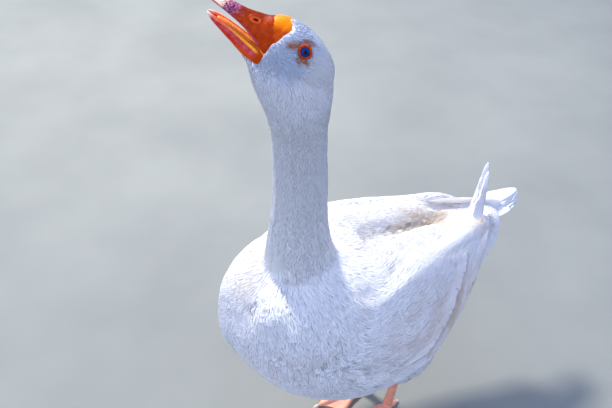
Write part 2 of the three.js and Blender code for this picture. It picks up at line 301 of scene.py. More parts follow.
def ball(centre, radii, around=20, rings=12):
    """A closed ball of points in the head's own millimetres."""
    points = [(centre[0], centre[1], centre[2] + radii[2])]
    for r in range(1, rings):
        polar = math.pi * r / rings
        for a in range(around):
            turn = 2 * math.pi * a / around
            points.append((centre[0] + radii[0] * math.sin(polar) * math.cos(turn),
                           centre[1] + radii[1] * math.sin(polar) * math.sin(turn),
                           centre[2] + radii[2] * math.cos(polar)))
    points.append((centre[0], centre[1], centre[2] - radii[2]))
    last = len(points) - 1
    faces = [(0, 1 + a, 1 + (a + 1) % around) for a in range(around)]
    for r in range(rings - 2):
        for a in range(around):
            low, high = 1 + r * around, 1 + (r + 1) * around
            faces.append((low + a, high + a, high + (a + 1) % around, low + (a + 1) % around))
    low = 1 + (rings - 2) * around
    faces += [(low + a, last, low + (a + 1) % around) for a in range(around)]
    return from_head(points), faces


# Each solid swells a little, so that the thin cuts between them close, and the swelling comes off again at
# the end. Two balls carry the skin on beneath the bill's base and the chin.
shells = []
for names in FLESH.values():
    for name in names:
        points, normals, faces = merged(name)
        shells.append((points + GAP_CLOSE * normals, faces))
shells.append(ball((0, 26, -20), (13, 16, 20)))
shells.append(ball((0, 43, -51), (8.5, 17, 5.5)))
outline, quads = fused(shells, SKIN_VOXEL)
count = len(outline)
average = neighbours(quads, count)
outline = eased(average, outline, 5)
outline -= GAP_CLOSE * unit(eased(average, point_normals(outline, quads), 4))

# Which part of the bird each point of the skin belongs to, as soft shares.
nearness = []
for names in FLESH.values():
    points, faces = gathered([merged(name)[::2] for name in names])
    nearest = BVHTree.FromPolygons([Vector(p) for p in points], faces)
    nearness.append([nearest.find_nearest(Vector(p))[3] for p in outline])
owner = np.argmin(np.array(nearness), axis=0)
share = {part: eased(average, (owner == k).astype(float), 14) for k, part in enumerate(FLESH)}
wing_share = share["wing_left"] + share["wing_right"]
neck_share = share["neck"]
on_body = share["trunk"] + wing_share + 0.6 * share["thigh"]
# Where the neck meets the trunk the outline is eased into one sweep.
neck_foot = np.clip(2.5 * eased(average, 4 * neck_share * share["trunk"], 40), 0, 1)
outline += neck_foot[:, None] * (eased(average, outline, 50) - outline)
up = unit(eased(average, point_normals(outline, quads), 4))

# Where each point lies: on the head in mm, in the row frame, and from the nearer eye's axis in mm.
own = to_head(outline)
side, forward, rise = np.abs(own[:, 0]), own[:, 1], own[:, 2]
left, back, high = outline.T
EYE_AT = np.array([(18.8, 1.8, 1.0), (-18.8, 1.8, 1.0)])
EYE_LOOK = unit(np.array([(0.91, 0.04, 0.40), (-0.91, 0.04, 0.40)]))
BEHIND_EYE = 100
from_eye = np.min([
    np.linalg.norm(np.cross(own - at, look), axis=1) + BEHIND_EYE * (((own - at) @ look) < 0)
    for at, look in zip(EYE_AT, EYE_LOOK)], axis=0)

# Feather edge of the face: how far forward the plumage runs at each height, more along the crown's middle.
EDGE_HEIGHT = [-60, -53, -50, -47, -41, -34, -28, -21, -17, -7, 0, 5, 10]
EDGE_FORWARD = [60, 60, 40, 33.5, 35.5, 32.2, 32.3, 34.6, 33.3, 30.8, 29.8, 27.2, 26]


def past_edge(points):
    """How far behind the feather edge each point of the head's own millimetres lies."""
    across, ahead, tall = np.abs(points[:, 0]), points[:, 1], points[:, 2]
    edge = np.interp(tall, EDGE_HEIGHT, EDGE_FORWARD)
    return edge + 12 * ramp(tall, 3, 9) * ramp(across, 15.5, 1) - ahead


behind_edge = past_edge(own)

# Depth of the plumage from skin to tips, in metres.
coat_depth = MM * (
    0.6 * share["head"] + 2.2 * wing_share + 3 * share["thigh"] + 2.3 * share["trunk"]
    + neck_share * (0.7 + 1.1 * ramp(high, 0.58, 0.42)))
coat_depth *= 1 - 0.8 * ramp(behind_edge, 14, 2) * share["head"]
coat_depth *= 1 - 0.8 * ramp(from_eye, 16, 8) * share["head"]
coat_depth = np.maximum(coat_depth, 0.4 * MM)


def along(path, share_of_way):
    """Places at shares from 0 to 1 of a path's evenly counted stations."""
    path = np.array(path, float)
    knots = np.linspace(0, 1, len(path))
    return np.stack([np.interp(share_of_way, knots, path[:, axis]) for axis in range(3)], -1)


# Loose plumage swells and sinks: broad swells on the body and fine furrows down the neck.
# The neck's middle line, first in mm of the row frame and then up into the head.
NECK_LINE = np.array([(0, -160.5, 335), (1, -188.5, 388), (4, -200.5, 445), (8, -202.5, 510),
                      (13, -205.5, 575), (17, -210.5, 632)]) * MM
neck_line = np.concatenate([NECK_LINE, from_head([(0, -36, -62), (0, -18, -43), (0, -2, -24)])])
NECK_STEPS = 120
neck_line = along(neck_line, np.linspace(0, 1, NECK_STEPS))
for _ in range(12):
    neck_line[1:-1] = (neck_line[:-2] + neck_line[1:-1] * 2 + neck_line[2:]) / 4
at_step = np.argmin(np.linalg.norm(outline[:, None] - neck_line[None, ::4], axis=2), axis=1) * 4
neck_down = unit(-np.gradient(neck_line, axis=0))[at_step]
off_line = outline - neck_line[at_step]
turn_round = np.arctan2(off_line[:, 0], -off_line[:, 1])


def patch(centre, radius):
    """A soft spot of the outline, 1 at its centre."""
    return ramp(np.linalg.norm((outline - centre) / radius, axis=1), 1.3, 0.3)


def clouds(points, scale, seed):
    """Smooth noise in -1 to 1 at each point, with features 1/scale metres wide."""
    shift = Vector((seed * 7.3, seed * 3.1, seed * 5.7))
    return np.array([noise.noise(Vector(p) * scale + shift) for p in points])


furrow = np.sin(15 * turn_round + 3.2 * clouds(outline * (1, 1, 0.5), 26, 1))
swell = MM * (
    0.55 * furrow * neck_share * ramp(share["head"], 0.3, 0)
    + on_body * (2.6 * clouds(outline, 17, 2) + 1.2 * clouds(outline, 38, 3))
    + 0.5 * share["head"] * clouds(outline, 60, 4) * ramp(behind_edge, 4, 14) * ramp(from_eye, 8, 14))
swell *= ramp(high, 0.16, 0.2)

# Creases where the plumage parts: at the neck's foot, on the breast, down the back, under each wing and
# along each shoulder. In the back's hollow and under the wings the feathers are short too.
#    depth and half width in mm, then the line in metres
CREASES = [
    (2.2, 7, [(-0.006, -0.245, 0.409), (0.024, -0.240, 0.428)]),
    (2.0, 7, [(0.024, -0.240, 0.428), (0.022, -0.244, 0.404)]),
    (1.1, 14, [(0.001, -0.262, 0.397), (0.006, -0.277, 0.383), (0.011, -0.285, 0.371)]),
    (1.6, 8, [(0.042, -0.292, 0.341), (0.062, -0.286, 0.339)]),
    (2.0, 9, [(0.108, -0.245, 0.328), (0.115, -0.225, 0.333), (0.123, -0.206, 0.334)]),
    (1.8, 9, [(-0.034, -0.298, 0.318), (-0.019, -0.296, 0.287)]),
    (1.8, 14, [(-0.004, -0.071, 0.382), (-0.009, -0.019, 0.365), (-0.008, 0.042, 0.349),
               (-0.018, 0.092, 0.335)]),
    (1.6, 10, [(0.049, -0.291, 0.334), (0.085, -0.270, 0.330), (0.121, -0.215, 0.312), (0.147, -0.144, 0.284),
               (0.146, -0.069, 0.262), (0.120, 0.02, 0.250), (0.085, 0.09, 0.262)]),
    (1.6, 10, [(-0.085, -0.262, 0.330), (-0.121, -0.205, 0.312), (-0.147, -0.134, 0.284),
               (-0.146, -0.059, 0.262), (-0.120, 0.03, 0.250), (-0.085, 0.10, 0.262)]),
    (1.6, 10, [(0.095, -0.163, 0.392), (0.094, -0.126, 0.389), (0.092, -0.05, 0.385), (0.091, 0.0, 0.372),
               (0.074, 0.11, 0.326)]),
    (1.6, 10, [(-0.095, -0.150, 0.392), (-0.094, -0.116, 0.389), (-0.092, -0.04, 0.385), (-0.091, 0.0, 0.372),
               (-0.074, 0.11, 0.326)]),
]
BACK_HOLLOW, UNDER_WINGS = 6, (7, 8)


def from_line(points, line):
    """Distance in millimetres from each point to a line through a few places."""
    line = np.array(line)
    nearest = np.full(len(points), 1e9)
    for start, end in zip(line[:-1], line[1:]):
        run = end - start
        t = np.clip((points - start) @ run / (run @ run), 0, 1)
        nearest = np.minimum(nearest, np.linalg.norm(points - start - t[:, None] * run, axis=1))
    return nearest / MM


for depth, half, line in CREASES:
    wander = from_line(outline, line) + 2.5 * clouds(outline, 60, 6)
    swell -= depth * MM * np.exp(-(wander / half) ** 2)
BREAST_TUFT, TUFT_REACH = (0.031, -0.272, 0.382), 0.024
swell += 5.0 * MM * patch(BREAST_TUFT, TUFT_REACH)
# The skin sinks under the horn, and rises to the tips at the breast's front, where the vanes part.
coat_depth += 1.4 * MM * ramp(behind_edge, 0, -2.5) * share["head"]
SPARSE_SPOT, SPARSE_REACH = (0, -0.276, 0.377), 0.009
coat_depth *= 1 - 0.8 * patch(SPARSE_SPOT, SPARSE_REACH)
# The bill is drawn onto the head before it swells. The bed is the smooth shape that vanes lie on.
face_shell = BVHTree.FromPolygons([Vector(p) for p in outline], quads)
face_up = up.copy()
bed_points = outline - coat_depth[:, None] * up
bed_points += on_body[:, None] * (eased(average, bed_points, 10) - bed_points)
outline += swell[:, None] * up
skin_points = outline - coat_depth[:, None] * up

# The lie: away from the bill over the head, down the neck, out over the trunk and back to the tail.
NECK_ROOT = np.array([0, -0.20, 0.36])
from_root = unit(outline - NECK_ROOT)
inward = -0.10 * np.sign(left) * ramp(np.abs(left), 0, 0.08)
rearward = unit(np.stack([inward, np.ones(count), np.full(count, -0.10)], 1))
over_trunk = unit(from_root + 1.6 * ramp(back, -0.12, 0.06)[:, None] * rearward)
over_head = unit(outline - from_head((0, 44, -16)))
along_wing = unit(np.stack([-0.27 * np.sign(left), np.ones(count), np.full(count, -0.06)], 1))
down_thigh = np.tile(unit(np.array([0, 0.45, -1.0])), (count, 1))
lie = (share["head"][:, None] * over_head + neck_share[:, None] * neck_down
       + share["trunk"][:, None] * over_trunk + wing_share[:, None] * along_wing
       + share["thigh"][:, None] * down_thigh)
for _ in range(14):
    lie = unit(lie - np.sum(lie * up, 1, keepdims=True) * up)
    lie = average(lie)
lie = unit(lie - np.sum(lie * up, 1, keepdims=True) * up)


def kept(tree, name, output="Fac"):
    """What a piece keeps at each point under a name, as a number or a direction."""
    return node(tree, "ShaderNodeAttribute", attribute_name=name).outputs[output]


def relief(tree, shader, height, depth, strength=1.0):
    """Bump of a given depth in metres on the shader, on top of any bump that it already has."""
    below = shader.inputs["Normal"].links[0].from_socket if shader.inputs["Normal"].links else None
    bump = node(tree, "ShaderNodeBump", {"Height": height, "Distance": depth, "Strength": strength})
    if below:
        tree.links.new(below, bump.inputs["Normal"])
    tree.links.new(bump.outputs[0], shader.inputs["Normal"])


skin_finish, tree, shader = finish("skin", 0.7, Subsurface_Weight=0.05)
tone = mixed(tree, mottle(tree, 22), (0.88, 0.87, 0.86), (0.84, 0.83, 0.82))
# The skin carries the same soiling, and on the left wing and flank painted shade, as the plumage.
tone = mixed(tree, kept(tree, "stain_and_shade"), tone, (0.62, 0.50, 0.38))
coloured(tree, shader, mixed(tree, kept(tree, "ochre"), tone, (0.70, 0.24, 0.05)))
relief(tree, shader, mottle(tree, 420, detail=2), 0.3 * MM, 0.6)

skin = new_piece("skin", skin_points, quads, skin_finish)


def keep(piece, name, values):
    """Stores a number or a direction at each point of a piece."""
    values = np.asarray(values, np.float32)
    kind, slot = ("FLOAT_VECTOR", "vector") if values.ndim == 2 else ("FLOAT", "value")
    piece.data.attributes.new(name, kind, "POINT").data.foreach_set(slot, values.ravel())


# Markings: warm stains where the bird soils itself, on the back, the rump, the left wing and the breast, and
# ochre spots about the eyes. On the left wing and flank the warm grey is partly painted shade that darkens
# that side, and the body turns warmer and darker towards its underside.
#          strength, middle and reach in metres
STAINS_AND_SHADE = [
    (0.55, (-0.015, 0.021, 0.360), (0.026, 0.050, 0.03)), (0.60, (-0.008, 0.075, 0.335), (0.03, 0.05, 0.03)),
    (0.40, (0.02, 0.12, 0.33), (0.06, 0.07, 0.05)), (0.30, (0.06, 0.14, 0.33), (0.05, 0.08, 0.05)),
    # The two patches of 0.50 on the left wing and flank are painted shade as well as soiling.
    (0.26, (0.0, 0.02, 0.38), (0.12, 0.22, 0.10)), (0.50, (0.132, -0.05, 0.31), (0.06, 0.16, 0.07)),
    (0.50, (0.12, 0.02, 0.27), (0.06, 0.16, 0.07)), (0.30, (0, 0.24, 0.22), (0.10, 0.10, 0.10)),
    (0.22, (0.06, -0.285, 0.32), (0.07, 0.05, 0.03)), (0.35, (-0.03, -0.262, 0.395), (0.03, 0.03, 0.03)),
]
stain_and_shade = sum(strength * patch(middle, reach) for strength, middle, reach in STAINS_AND_SHADE)
# The body turns warmer and darker towards its underside.
stain_and_shade += 0.22 * ramp(high, 0.26, 0.17) * on_body
stain_and_shade = np.clip(stain_and_shade * (0.75 + 0.9 * clouds(outline, 45, 8)) + 0.05 * clouds(outline, 14, 9), 0, 1)

#               place on the head and radius in mm
OCHRE_SPOTS = [
    ((25.0, 20.8, -2.0), 2.6), ((23.6, 18.6, 0.6), 2.2), ((21.6, 16.0, 4.6), 1.5), ((18.9, 12.6, 10.2), 1.8),
    ((16.8, 8.0, 12.9), 2.3), ((16.4, 3.6, 13.0), 2.1), ((26.6, 0.8, -4.4), 2.0), ((26.0, -3.2, -3.4), 2.2),
    ((26.6, 4.8, -7.2), 2.4), ((24.6, -5.0, -0.6), 1.5),
]
ochre = np.zeros(count)
for spot, radius in OCHRE_SPOTS:
    near = np.linalg.norm(np.stack([side, forward, rise], 1) - spot, axis=1) / (1.45 * radius)
    ochre = np.maximum(ochre, ramp(near + 0.35 * clouds(outline, 400, 12), 1.4, 0.7))
ochre = np.maximum(ochre, 0.5 * ramp(from_eye, 10, 7) * share["head"])

# The face and crown carry a painted shade, a cooler blue-grey than the rest.
painted_face_shade = 0.88 * share["head"] * ramp(forward, -18, 8)

# An unwrap of the skin for the coat's patches: round and along the trunk, and round and along the neck.
round_trunk = np.arctan2(left, high - 0.29) / (2 * math.pi) + 0.5
along_trunk = 0.02 + 0.66 * (back - back.min()) / (back.max() - back.min())
on_neck = ramp(share["head"] + neck_share, 0.4, 0.6) > 0.5
patch_at = np.stack([
    np.where(on_neck, turn_round / (2 * math.pi) + 0.5, round_trunk) * 0.98 + 0.01,
    np.where(on_neck, 0.70 + 0.28 * at_step / NECK_STEPS, along_trunk), np.zeros(count)], 1)

bed = new_piece("bed", bed_points, quads)
keep(bed, "up", up)
keep(bed, "swell", swell)
keep(skin, "lie", lie)
keep(skin, "up", up)
keep(skin, "stain_and_shade", stain_and_shade)
keep(skin, "ochre", ochre)
keep(skin, "painted_face_shade", painted_face_shade)
keep(skin, "depth", coat_depth)
keep(skin, "patch_at", patch_at)
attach(skin, "root")
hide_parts(*[name for names in FLESH.values() for name in names])

# ---------------------------------------------------------------- plumage
# Contour feathers overlap like slates, each a thin crowned vane rooted in the skin with its tip at the
# outline. They are fine as velvet on the face, narrow down the neck and broad on the back and wings.
# Roots are scattered over each region of the skin, and every vane is laid on it along the lie.

plumage_finish, tree, shader = finish("plumage", 0.75, Sheen_Weight=0.2, Sheen_Roughness=0.5,
                                      Specular_IOR_Level=0.2, Subsurface_Weight=0.4, Subsurface_Scale=0.003)
shader.inputs["Subsurface Radius"].default_value = (1.0, 0.9, 0.85)
across, along_vane, _ = node(tree, "ShaderNodeSeparateXYZ", {0: kept(tree, "vane", "Vector")}).outputs


def sums(tree, operation, first, second=0.0):
    """One sum in a tree on two numbers or links."""
    return node(tree, "ShaderNodeMath", {0: first, 1: second}, operation=operation).outputs[0]


def plus(tree, first, second):
    """Two numbers or links added."""
    return sums(tree, "ADD", first, second)


def less(tree, first, second):
    """The second taken from the first."""
    return sums(tree, "SUBTRACT", first, second)


def times(tree, first, *others):
    """Numbers or links multiplied."""
    for other in others:
        first = sums(tree, "MULTIPLY", first, other)
    return first


def straight(tree, value, low, high):
    """A link that rises straight from 0 at low to 1 at high."""
    reach = {"Value": value, "From Min": low, "From Max": high}
    return node(tree, "ShaderNodeMapRange", reach).outputs["Result"]


plume = mixed(tree, kept(tree, "tint"), (0.91, 0.91, 0.92), (0.95, 0.945, 0.935))
# Painted shade: the face and crown turn blue-grey.
plume = mixed(tree, kept(tree, "painted_face_shade"), plume, (0.56, 0.66, 0.84))
# Soiling, and on the left wing and flank painted shade, warm and darken the plumage.
plume = mixed(tree, kept(tree, "stain_and_shade"), plume, (0.66, 0.51, 0.36))
plume = mixed(tree, kept(tree, "ochre"), plume, (0.50, 0.12, 0.012))
root_shade = mixed(tree, 0.06, plume, (0.62, 0.63, 0.68))
coloured(tree, shader, mixed(tree, straight(tree, along_vane, 0.25, 0.8), root_shade, plume))
from_shaft = sums(tree, "ABSOLUTE", across)
barb_line = less(tree, along_vane, times(tree, from_shaft, 0.28))
relief(tree, shader, sums(tree, "SINE", times(tree, barb_line, 170)), 0.08 * MM, 0.25)
relief(tree, shader, straight(tree, from_shaft, 0.10, 0.02), 0.2 * MM, 0.5)

VANE_STATION = [0, 0.2, 0.45, 0.7, 0.85, 0.94, 1]
VANE_HALF = {"body": [0.12, 0.34, 0.48, 0.50, 0.42, 0.28, 0.08],
             "neck": [0.2, 0.40, 0.50, 0.40, 0.27, 0.15, 0.03]}
BARB_SIDE, BARB_REACH = [0.08, 0.28, 0.42, 0.50], [0.99, 0.94, 0.85, 0.70]
CROWN_TALL = 0.09


def righted(piece):
    """Turns every face of a closed piece outwards."""
    shell = bmesh.new()
    shell.from_mesh(piece.data)
    bmesh.ops.recalc_face_normals(shell, faces=shell.faces)
    shell.to_mesh(piece.data)
    shell.free()
    return piece


def vane_shape(kind, rows, columns, fringe, random, barbs):
    """A unit vane on its back, root at y 0 and tip at y 1, crowned above, closed flat below, with loose
    barbs round its tip: its points, faces and vane coordinates."""
    points, at = [], []
    for row in range(rows + 1):
        y = 1 - (1 - row / rows) ** 1.4
        half = np.interp(y, VANE_STATION, VANE_HALF[kind]) * (1 + fringe * random.uniform(-0.5, 0.5))
        for column in range(columns + 1):
            x = 2 * column / columns - 1
            ragged = fringe * random.uniform(-1, 1) if row >= rows - 1 else 0
            reach = y - (0.03 * x * x if row == rows else 0) + ragged * (0.10 if row == rows else 0.05)
            points.append((half * x, reach, CROWN_TALL * (1 - x * x)))
            at.append((x, y, 1 - x * x))
    width = columns + 1
    faces = []
    for row in range(rows):
        for column in range(columns):
            corner = row * width + column
            faces.append((corner, corner + 1, corner + 1 + width, corner + width))
        faces.append((row * width, (row + 1) * width, (row + 1) * width + columns, row * width + columns))
    faces.append(tuple(range(columns, -1, -1)))
    faces.append(tuple(rows * width + column for column in range(width)))
    for k in range(barbs):
        x = (2 * (k + 0.5) / barbs - 1) * 0.46
        y = np.interp(abs(x), BARB_SIDE, BARB_REACH) - 0.05
        tall = 1 - (x / 0.5) ** 2
        reach = random.uniform(0.09, 0.15)
        lean = x * 0.35 + random.uniform(-0.03, 0.03)
        base = len(points)
        for dx, dy, dz in ((-0.055, 0, -0.2), (0.055, 0, -0.2), (0, -0.01, 0.35), (lean * 0.5, reach, -0.25)):
            points.append((x + dx, y + dy, CROWN_TALL * (tall + dz)))
            at.append((2 * (x + dx), min(y + dy, 1), tall + dz))
        faces += [(base, base + 2, base + 3), (base + 2, base + 1, base + 3), (base, base + 3, base + 1),
                  (base, base + 1, base + 2)]
    return np.array(points), faces, np.array(at)


def vane_set(name, kind, rows, columns, fringe, seed, barbs):
    """Three vanes of one kind with different ragged tips, in a collection of their own."""
    together = bpy.data.collections.new(name)
    for turn in range(3):
        random = np.random.default_rng(seed + turn)
        points, faces, at = vane_shape(kind, rows, columns, fringe, random, barbs)
        piece = righted(new_piece(f"{name}_{turn}", points, faces))
        keep(piece, "vane", at)
        bpy.context.scene.collection.objects.unlink(piece)
        together.objects.link(piece)
    return together


def named(tree, name, kind="FLOAT"):
    """An attribute of the geometry under a name."""
    return node(tree, "GeometryNodeInputNamedAttribute", {"Name": name}, data_type=kind).outputs["Attribute"]


def inlets(tree, *wanted):
    """Gives a tree its named inputs and its one output, and returns their sockets inside it."""
    for name, kind in wanted:
        tree.interface.new_socket(name, in_out="INPUT", socket_type="NodeSocket" + kind)
    tree.interface.new_socket("Geometry", in_out="OUTPUT", socket_type="NodeSocketGeometry")
    return tree.nodes.new("NodeGroupInput").outputs, tree.nodes.new("NodeGroupOutput").inputs


def vector_sum(tree, operation, first, second):
    """One sum on two directions, or on a direction and a scale."""
    kind = "Scale" if operation == "SCALE" else 1
    return node(tree, "ShaderNodeVectorMath", {0: first, kind: second}, operation=operation).outputs[0]


# Lays flat vanes on the bed, the skin before its creases: each point goes to the nearest place of the bed,
# then out by the swell there and by its own "lift".
laying = bpy.data.node_groups.new("lay_on_skin", "GeometryNodeTree")
given, result = inlets(laying, ("Geometry", "Geometry"), ("Bed", "Object"), ("Finish", "Material"))
bed_here = node(laying, "GeometryNodeObjectInfo", {"Object": given["Bed"]}).outputs["Geometry"]
spot = node(laying, "GeometryNodeInputPosition").outputs[0]


def on_bed(value, kind="FLOAT_VECTOR"):
    """A value at the bed's nearest place."""
    return node(laying, "GeometryNodeSampleNearestSurface", {
        "Mesh": bed_here, "Value": value, "Sample Position": spot}, data_type=kind).outputs[0]


bed_up = vector_sum(laying, "NORMALIZE", on_bed(named(laying, "up", "FLOAT_VECTOR")), (0, 0, 0))
raised = plus(laying, on_bed(named(laying, "swell"), "FLOAT"), named(laying, "lift"))
laid = node(laying, "GeometryNodeSetPosition", {
    "Geometry": given["Geometry"],
    "Position": vector_sum(laying, "ADD", on_bed(spot), vector_sum(laying, "SCALE", bed_up, raised)),
}).outputs[0]


def ended(tree, geometry, given, result):
    """Ends a tree: its instances are made real and wear the finish that is given."""
    whole = node(tree, "GeometryNodeRealizeInstances", {"Geometry": geometry}).outputs[0]
    dressed = node(tree, "GeometryNodeSetMaterial", {"Geometry": whole, "Material": given["Finish"]})
    tree.links.new(dressed.outputs[0], result[0])


ended(laying, laid, given, result)

# Scatters roots over one region of the skin and turns, sizes and laps the vanes on them. Each vane takes a
# small patch of the coat's unwrap, so it bakes to nearly one colour.
PATCH_SIZE = (0.0015, 0.003)
planting = bpy.data.node_groups.new("plumage", "GeometryNodeTree")
given, result = inlets(
    planting, ("Geometry", "Geometry"), ("Bed", "Object"), ("Vanes", "Collection"), ("Finish", "Material"),
    ("Region", "String"), ("Spacing", "Float"), ("Splay", "Float"), ("Crown", "Float"), ("Stand", "Float"),
    ("Root", "Float"), ("Long", "Float"), ("Wide", "Float"), ("Seed", "Int"))


def chance(low, high, seed_step):
    """A random number for each root."""
    seed = plus(planting, given["Seed"], float(seed_step))
    return node(planting, "FunctionNodeRandomValue", {2: low, 3: high, "Seed": seed}).outputs[1]


def stored(geometry, name, value, kind="FLOAT", domain="POINT"):
    """The geometry with a value kept under a name."""
    return node(planting, "GeometryNodeStoreNamedAttribute", {
        "Geometry": geometry, "Name": name, "Value": value}, data_type=kind, domain=domain).outputs[0]


crowded = sums(planting, "DIVIDE", 3.0, times(planting, given["Spacing"], given["Spacing"]))
scattered = node(planting, "GeometryNodeDistributePointsOnFaces", {
    "Mesh": given["Geometry"], "Distance Min": given["Spacing"], "Density Max": crowded,
    "Density Factor": named(planting, given["Region"]), "Seed": given["Seed"]}, distribute_method="POISSON")
roots = stored(scattered.outputs["Points"], "tint", chance(0.0, 1.0, 1))
roots = stored(roots, "stand", times(planting, given["Stand"], chance(0.96, 1.04, 2)))
facing = node(planting, "FunctionNodeAxesToRotation", {
    "Primary Axis": named(planting, "up", "FLOAT_VECTOR"),
    "Secondary Axis": named(planting, "lie", "FLOAT_VECTOR")}, primary_axis="Z", secondary_axis="Y")
yaw = node(planting, "ShaderNodeCombineXYZ", {2: times(planting, given["Splay"], chance(-1.0, 1.0, 3))})
turned = node(planting, "FunctionNodeRotateRotation", {
    "Rotation": facing.outputs[0], "Rotate By": yaw.outputs[0]}, rotation_space="LOCAL")
size = node(planting, "ShaderNodeCombineXYZ", {
    0: times(planting, named(planting, "wide"), given["Wide"], chance(0.85, 1.15, 4)),
    1: times(planting, named(planting, "long"), given["Long"], chance(0.85, 1.15, 5)),
    2: named(planting, "wide")})
choice = node(planting, "FunctionNodeRandomValue", {4: 0, 5: 2, "Seed": given["Seed"]}, data_type="INT")
planted = node(planting, "GeometryNodeInstanceOnPoints", {
    "Points": roots,
    "Instance": node(planting, "GeometryNodeCollectionInfo", {
        "Collection": given["Vanes"], "Separate Children": True, "Reset Children": True}).outputs[0],
    "Pick Instance": True, "Instance Index": choice.outputs[2],
    "Rotation": turned.outputs[0], "Scale": size.outputs[0]})
whole = node(planting, "GeometryNodeRealizeInstances", {"Geometry": planted.outputs[0]}).outputs[0]
vane_here = named(planting, "vane", "FLOAT_VECTOR")
_, vane_y, vane_z = node(planting, "ShaderNodeSeparateXYZ", {0: vane_here}).outputs
climb = times(planting, sums(planting, "POWER", vane_y, 0.85), less(planting, 1.0, given["Root"]))
slope = plus(planting, given["Root"], climb)
lift = times(planting, slope, named(planting, "depth"), named(planting, "stand"))
crowned = times(planting, vane_z, times(planting, named(planting, "wide"), given["Crown"]))
whole = stored(whole, "lift", plus(planting, lift, crowned))
on_patch = vector_sum(planting, "MULTIPLY", vane_here, (*PATCH_SIZE, 0))
on_patch = vector_sum(planting, "ADD", named(planting, "patch_at", "FLOAT_VECTOR"), on_patch)
whole = stored(whole, "OFBake", on_patch, "FLOAT2", "CORNER")
laid = node(planting, "GeometryNodeGroup", node_tree=laying)
for name, link in (("Geometry", whole), ("Bed", given["Bed"]), ("Finish", given["Finish"])):
    planting.links.new(link, laid.inputs[name])
planting.links.new(laid.outputs[0], result[0])


def grown(name, source, tree, values):
    """The plain mesh piece that a tree of nodes makes on a source piece."""
    carrier = bpy.data.objects.new(name, source.data)
    bpy.context.scene.collection.objects.link(carrier)
    modifier = carrier.modifiers.new(name, "NODES")
    modifier.node_group = tree
    for socket in tree.interface.items_tree:
        if socket.in_out == "INPUT" and socket.name in values:
            modifier[socket.identifier] = values[socket.name]
    mesh = evaluated_mesh(carrier)
    bpy.data.objects.remove(carrier)
    mesh.name = name
    piece = bpy.data.objects.new(name, mesh)
    bpy.context.scene.collection.objects.link(piece)
    mesh.polygons.foreach_set("use_smooth", [True] * len(mesh.polygons))
    mesh.update()
    return piece


# Where feathers grow: behind the feather edge, round the eye rings and down to the hock.
HOCK_HIGH = 0.118, 0.126
in_plumage = ramp(behind_edge, 0.2, 1.2) * ramp(from_eye, 6.4, 7.6)
in_plumage = np.where(share["head"] > 0.02, in_plumage, 1) * ramp(high, *HOCK_HIGH)
on_face = ramp(np.minimum(behind_edge / 26, (from_eye - 6) / 12), 1, 0) * share["head"]
low_neck = ramp(high, 0.60, 0.40)
# Length and breadth of the feathers that are rooted at each point.
length = MM * (
    share["head"] * (8.5 - 5.2 * on_face) + neck_share * (11 + 13 * low_neck)
    + share["trunk"] * (34 + 12 * ramp(back, -0.1, 0.15)) + wing_share * (46 + 12 * ramp(back, 0, 0.15))
    + share["thigh"] * 26)
breadth = length * (
    share["head"] * 0.40 + neck_share * (0.34 + 0.14 * low_neck) + share["trunk"] * 0.62
    + wing_share * 0.54 + share["thigh"] * 0.55)
in_hollow = np.zeros(count)
for crease, strength, half in ((BACK_HOLLOW, 1, 17), *((edge, 0.75, 14) for edge in UNDER_WINGS)):
    near = strength * np.exp(-(from_line(outline, CREASES[crease][2]) / half) ** 2)
    in_hollow = np.maximum(in_hollow, near)
length *= 1 - 0.62 * in_hollow
breadth *= 1 - 0.55 * in_hollow
keep(skin, "long", length)
keep(skin, "wide", breadth)

fore = ramp(back, -0.10, -0.13)
above = ramp(high, 0.27, 0.31)
FACE_ENDS = 0.15
REGIONS = {
    "face": share["head"] * (on_face > FACE_ENDS),
    "crown": share["head"] * (on_face <= FACE_ENDS) * ramp(neck_share, 0.5, 0.4),
    "neck_upper": neck_share * ramp(high, 0.50, 0.52),
    "neck_lower": neck_share * ramp(high, 0.52, 0.50),
    "breast": share["trunk"] * fore,
    "belly": share["trunk"] * (1 - fore) * (1 - above),
    "back": share["trunk"] * (1 - fore) * above,
    "wing_left": share["wing_left"], "wing_right": share["wing_right"], "thigh": share["thigh"],
}
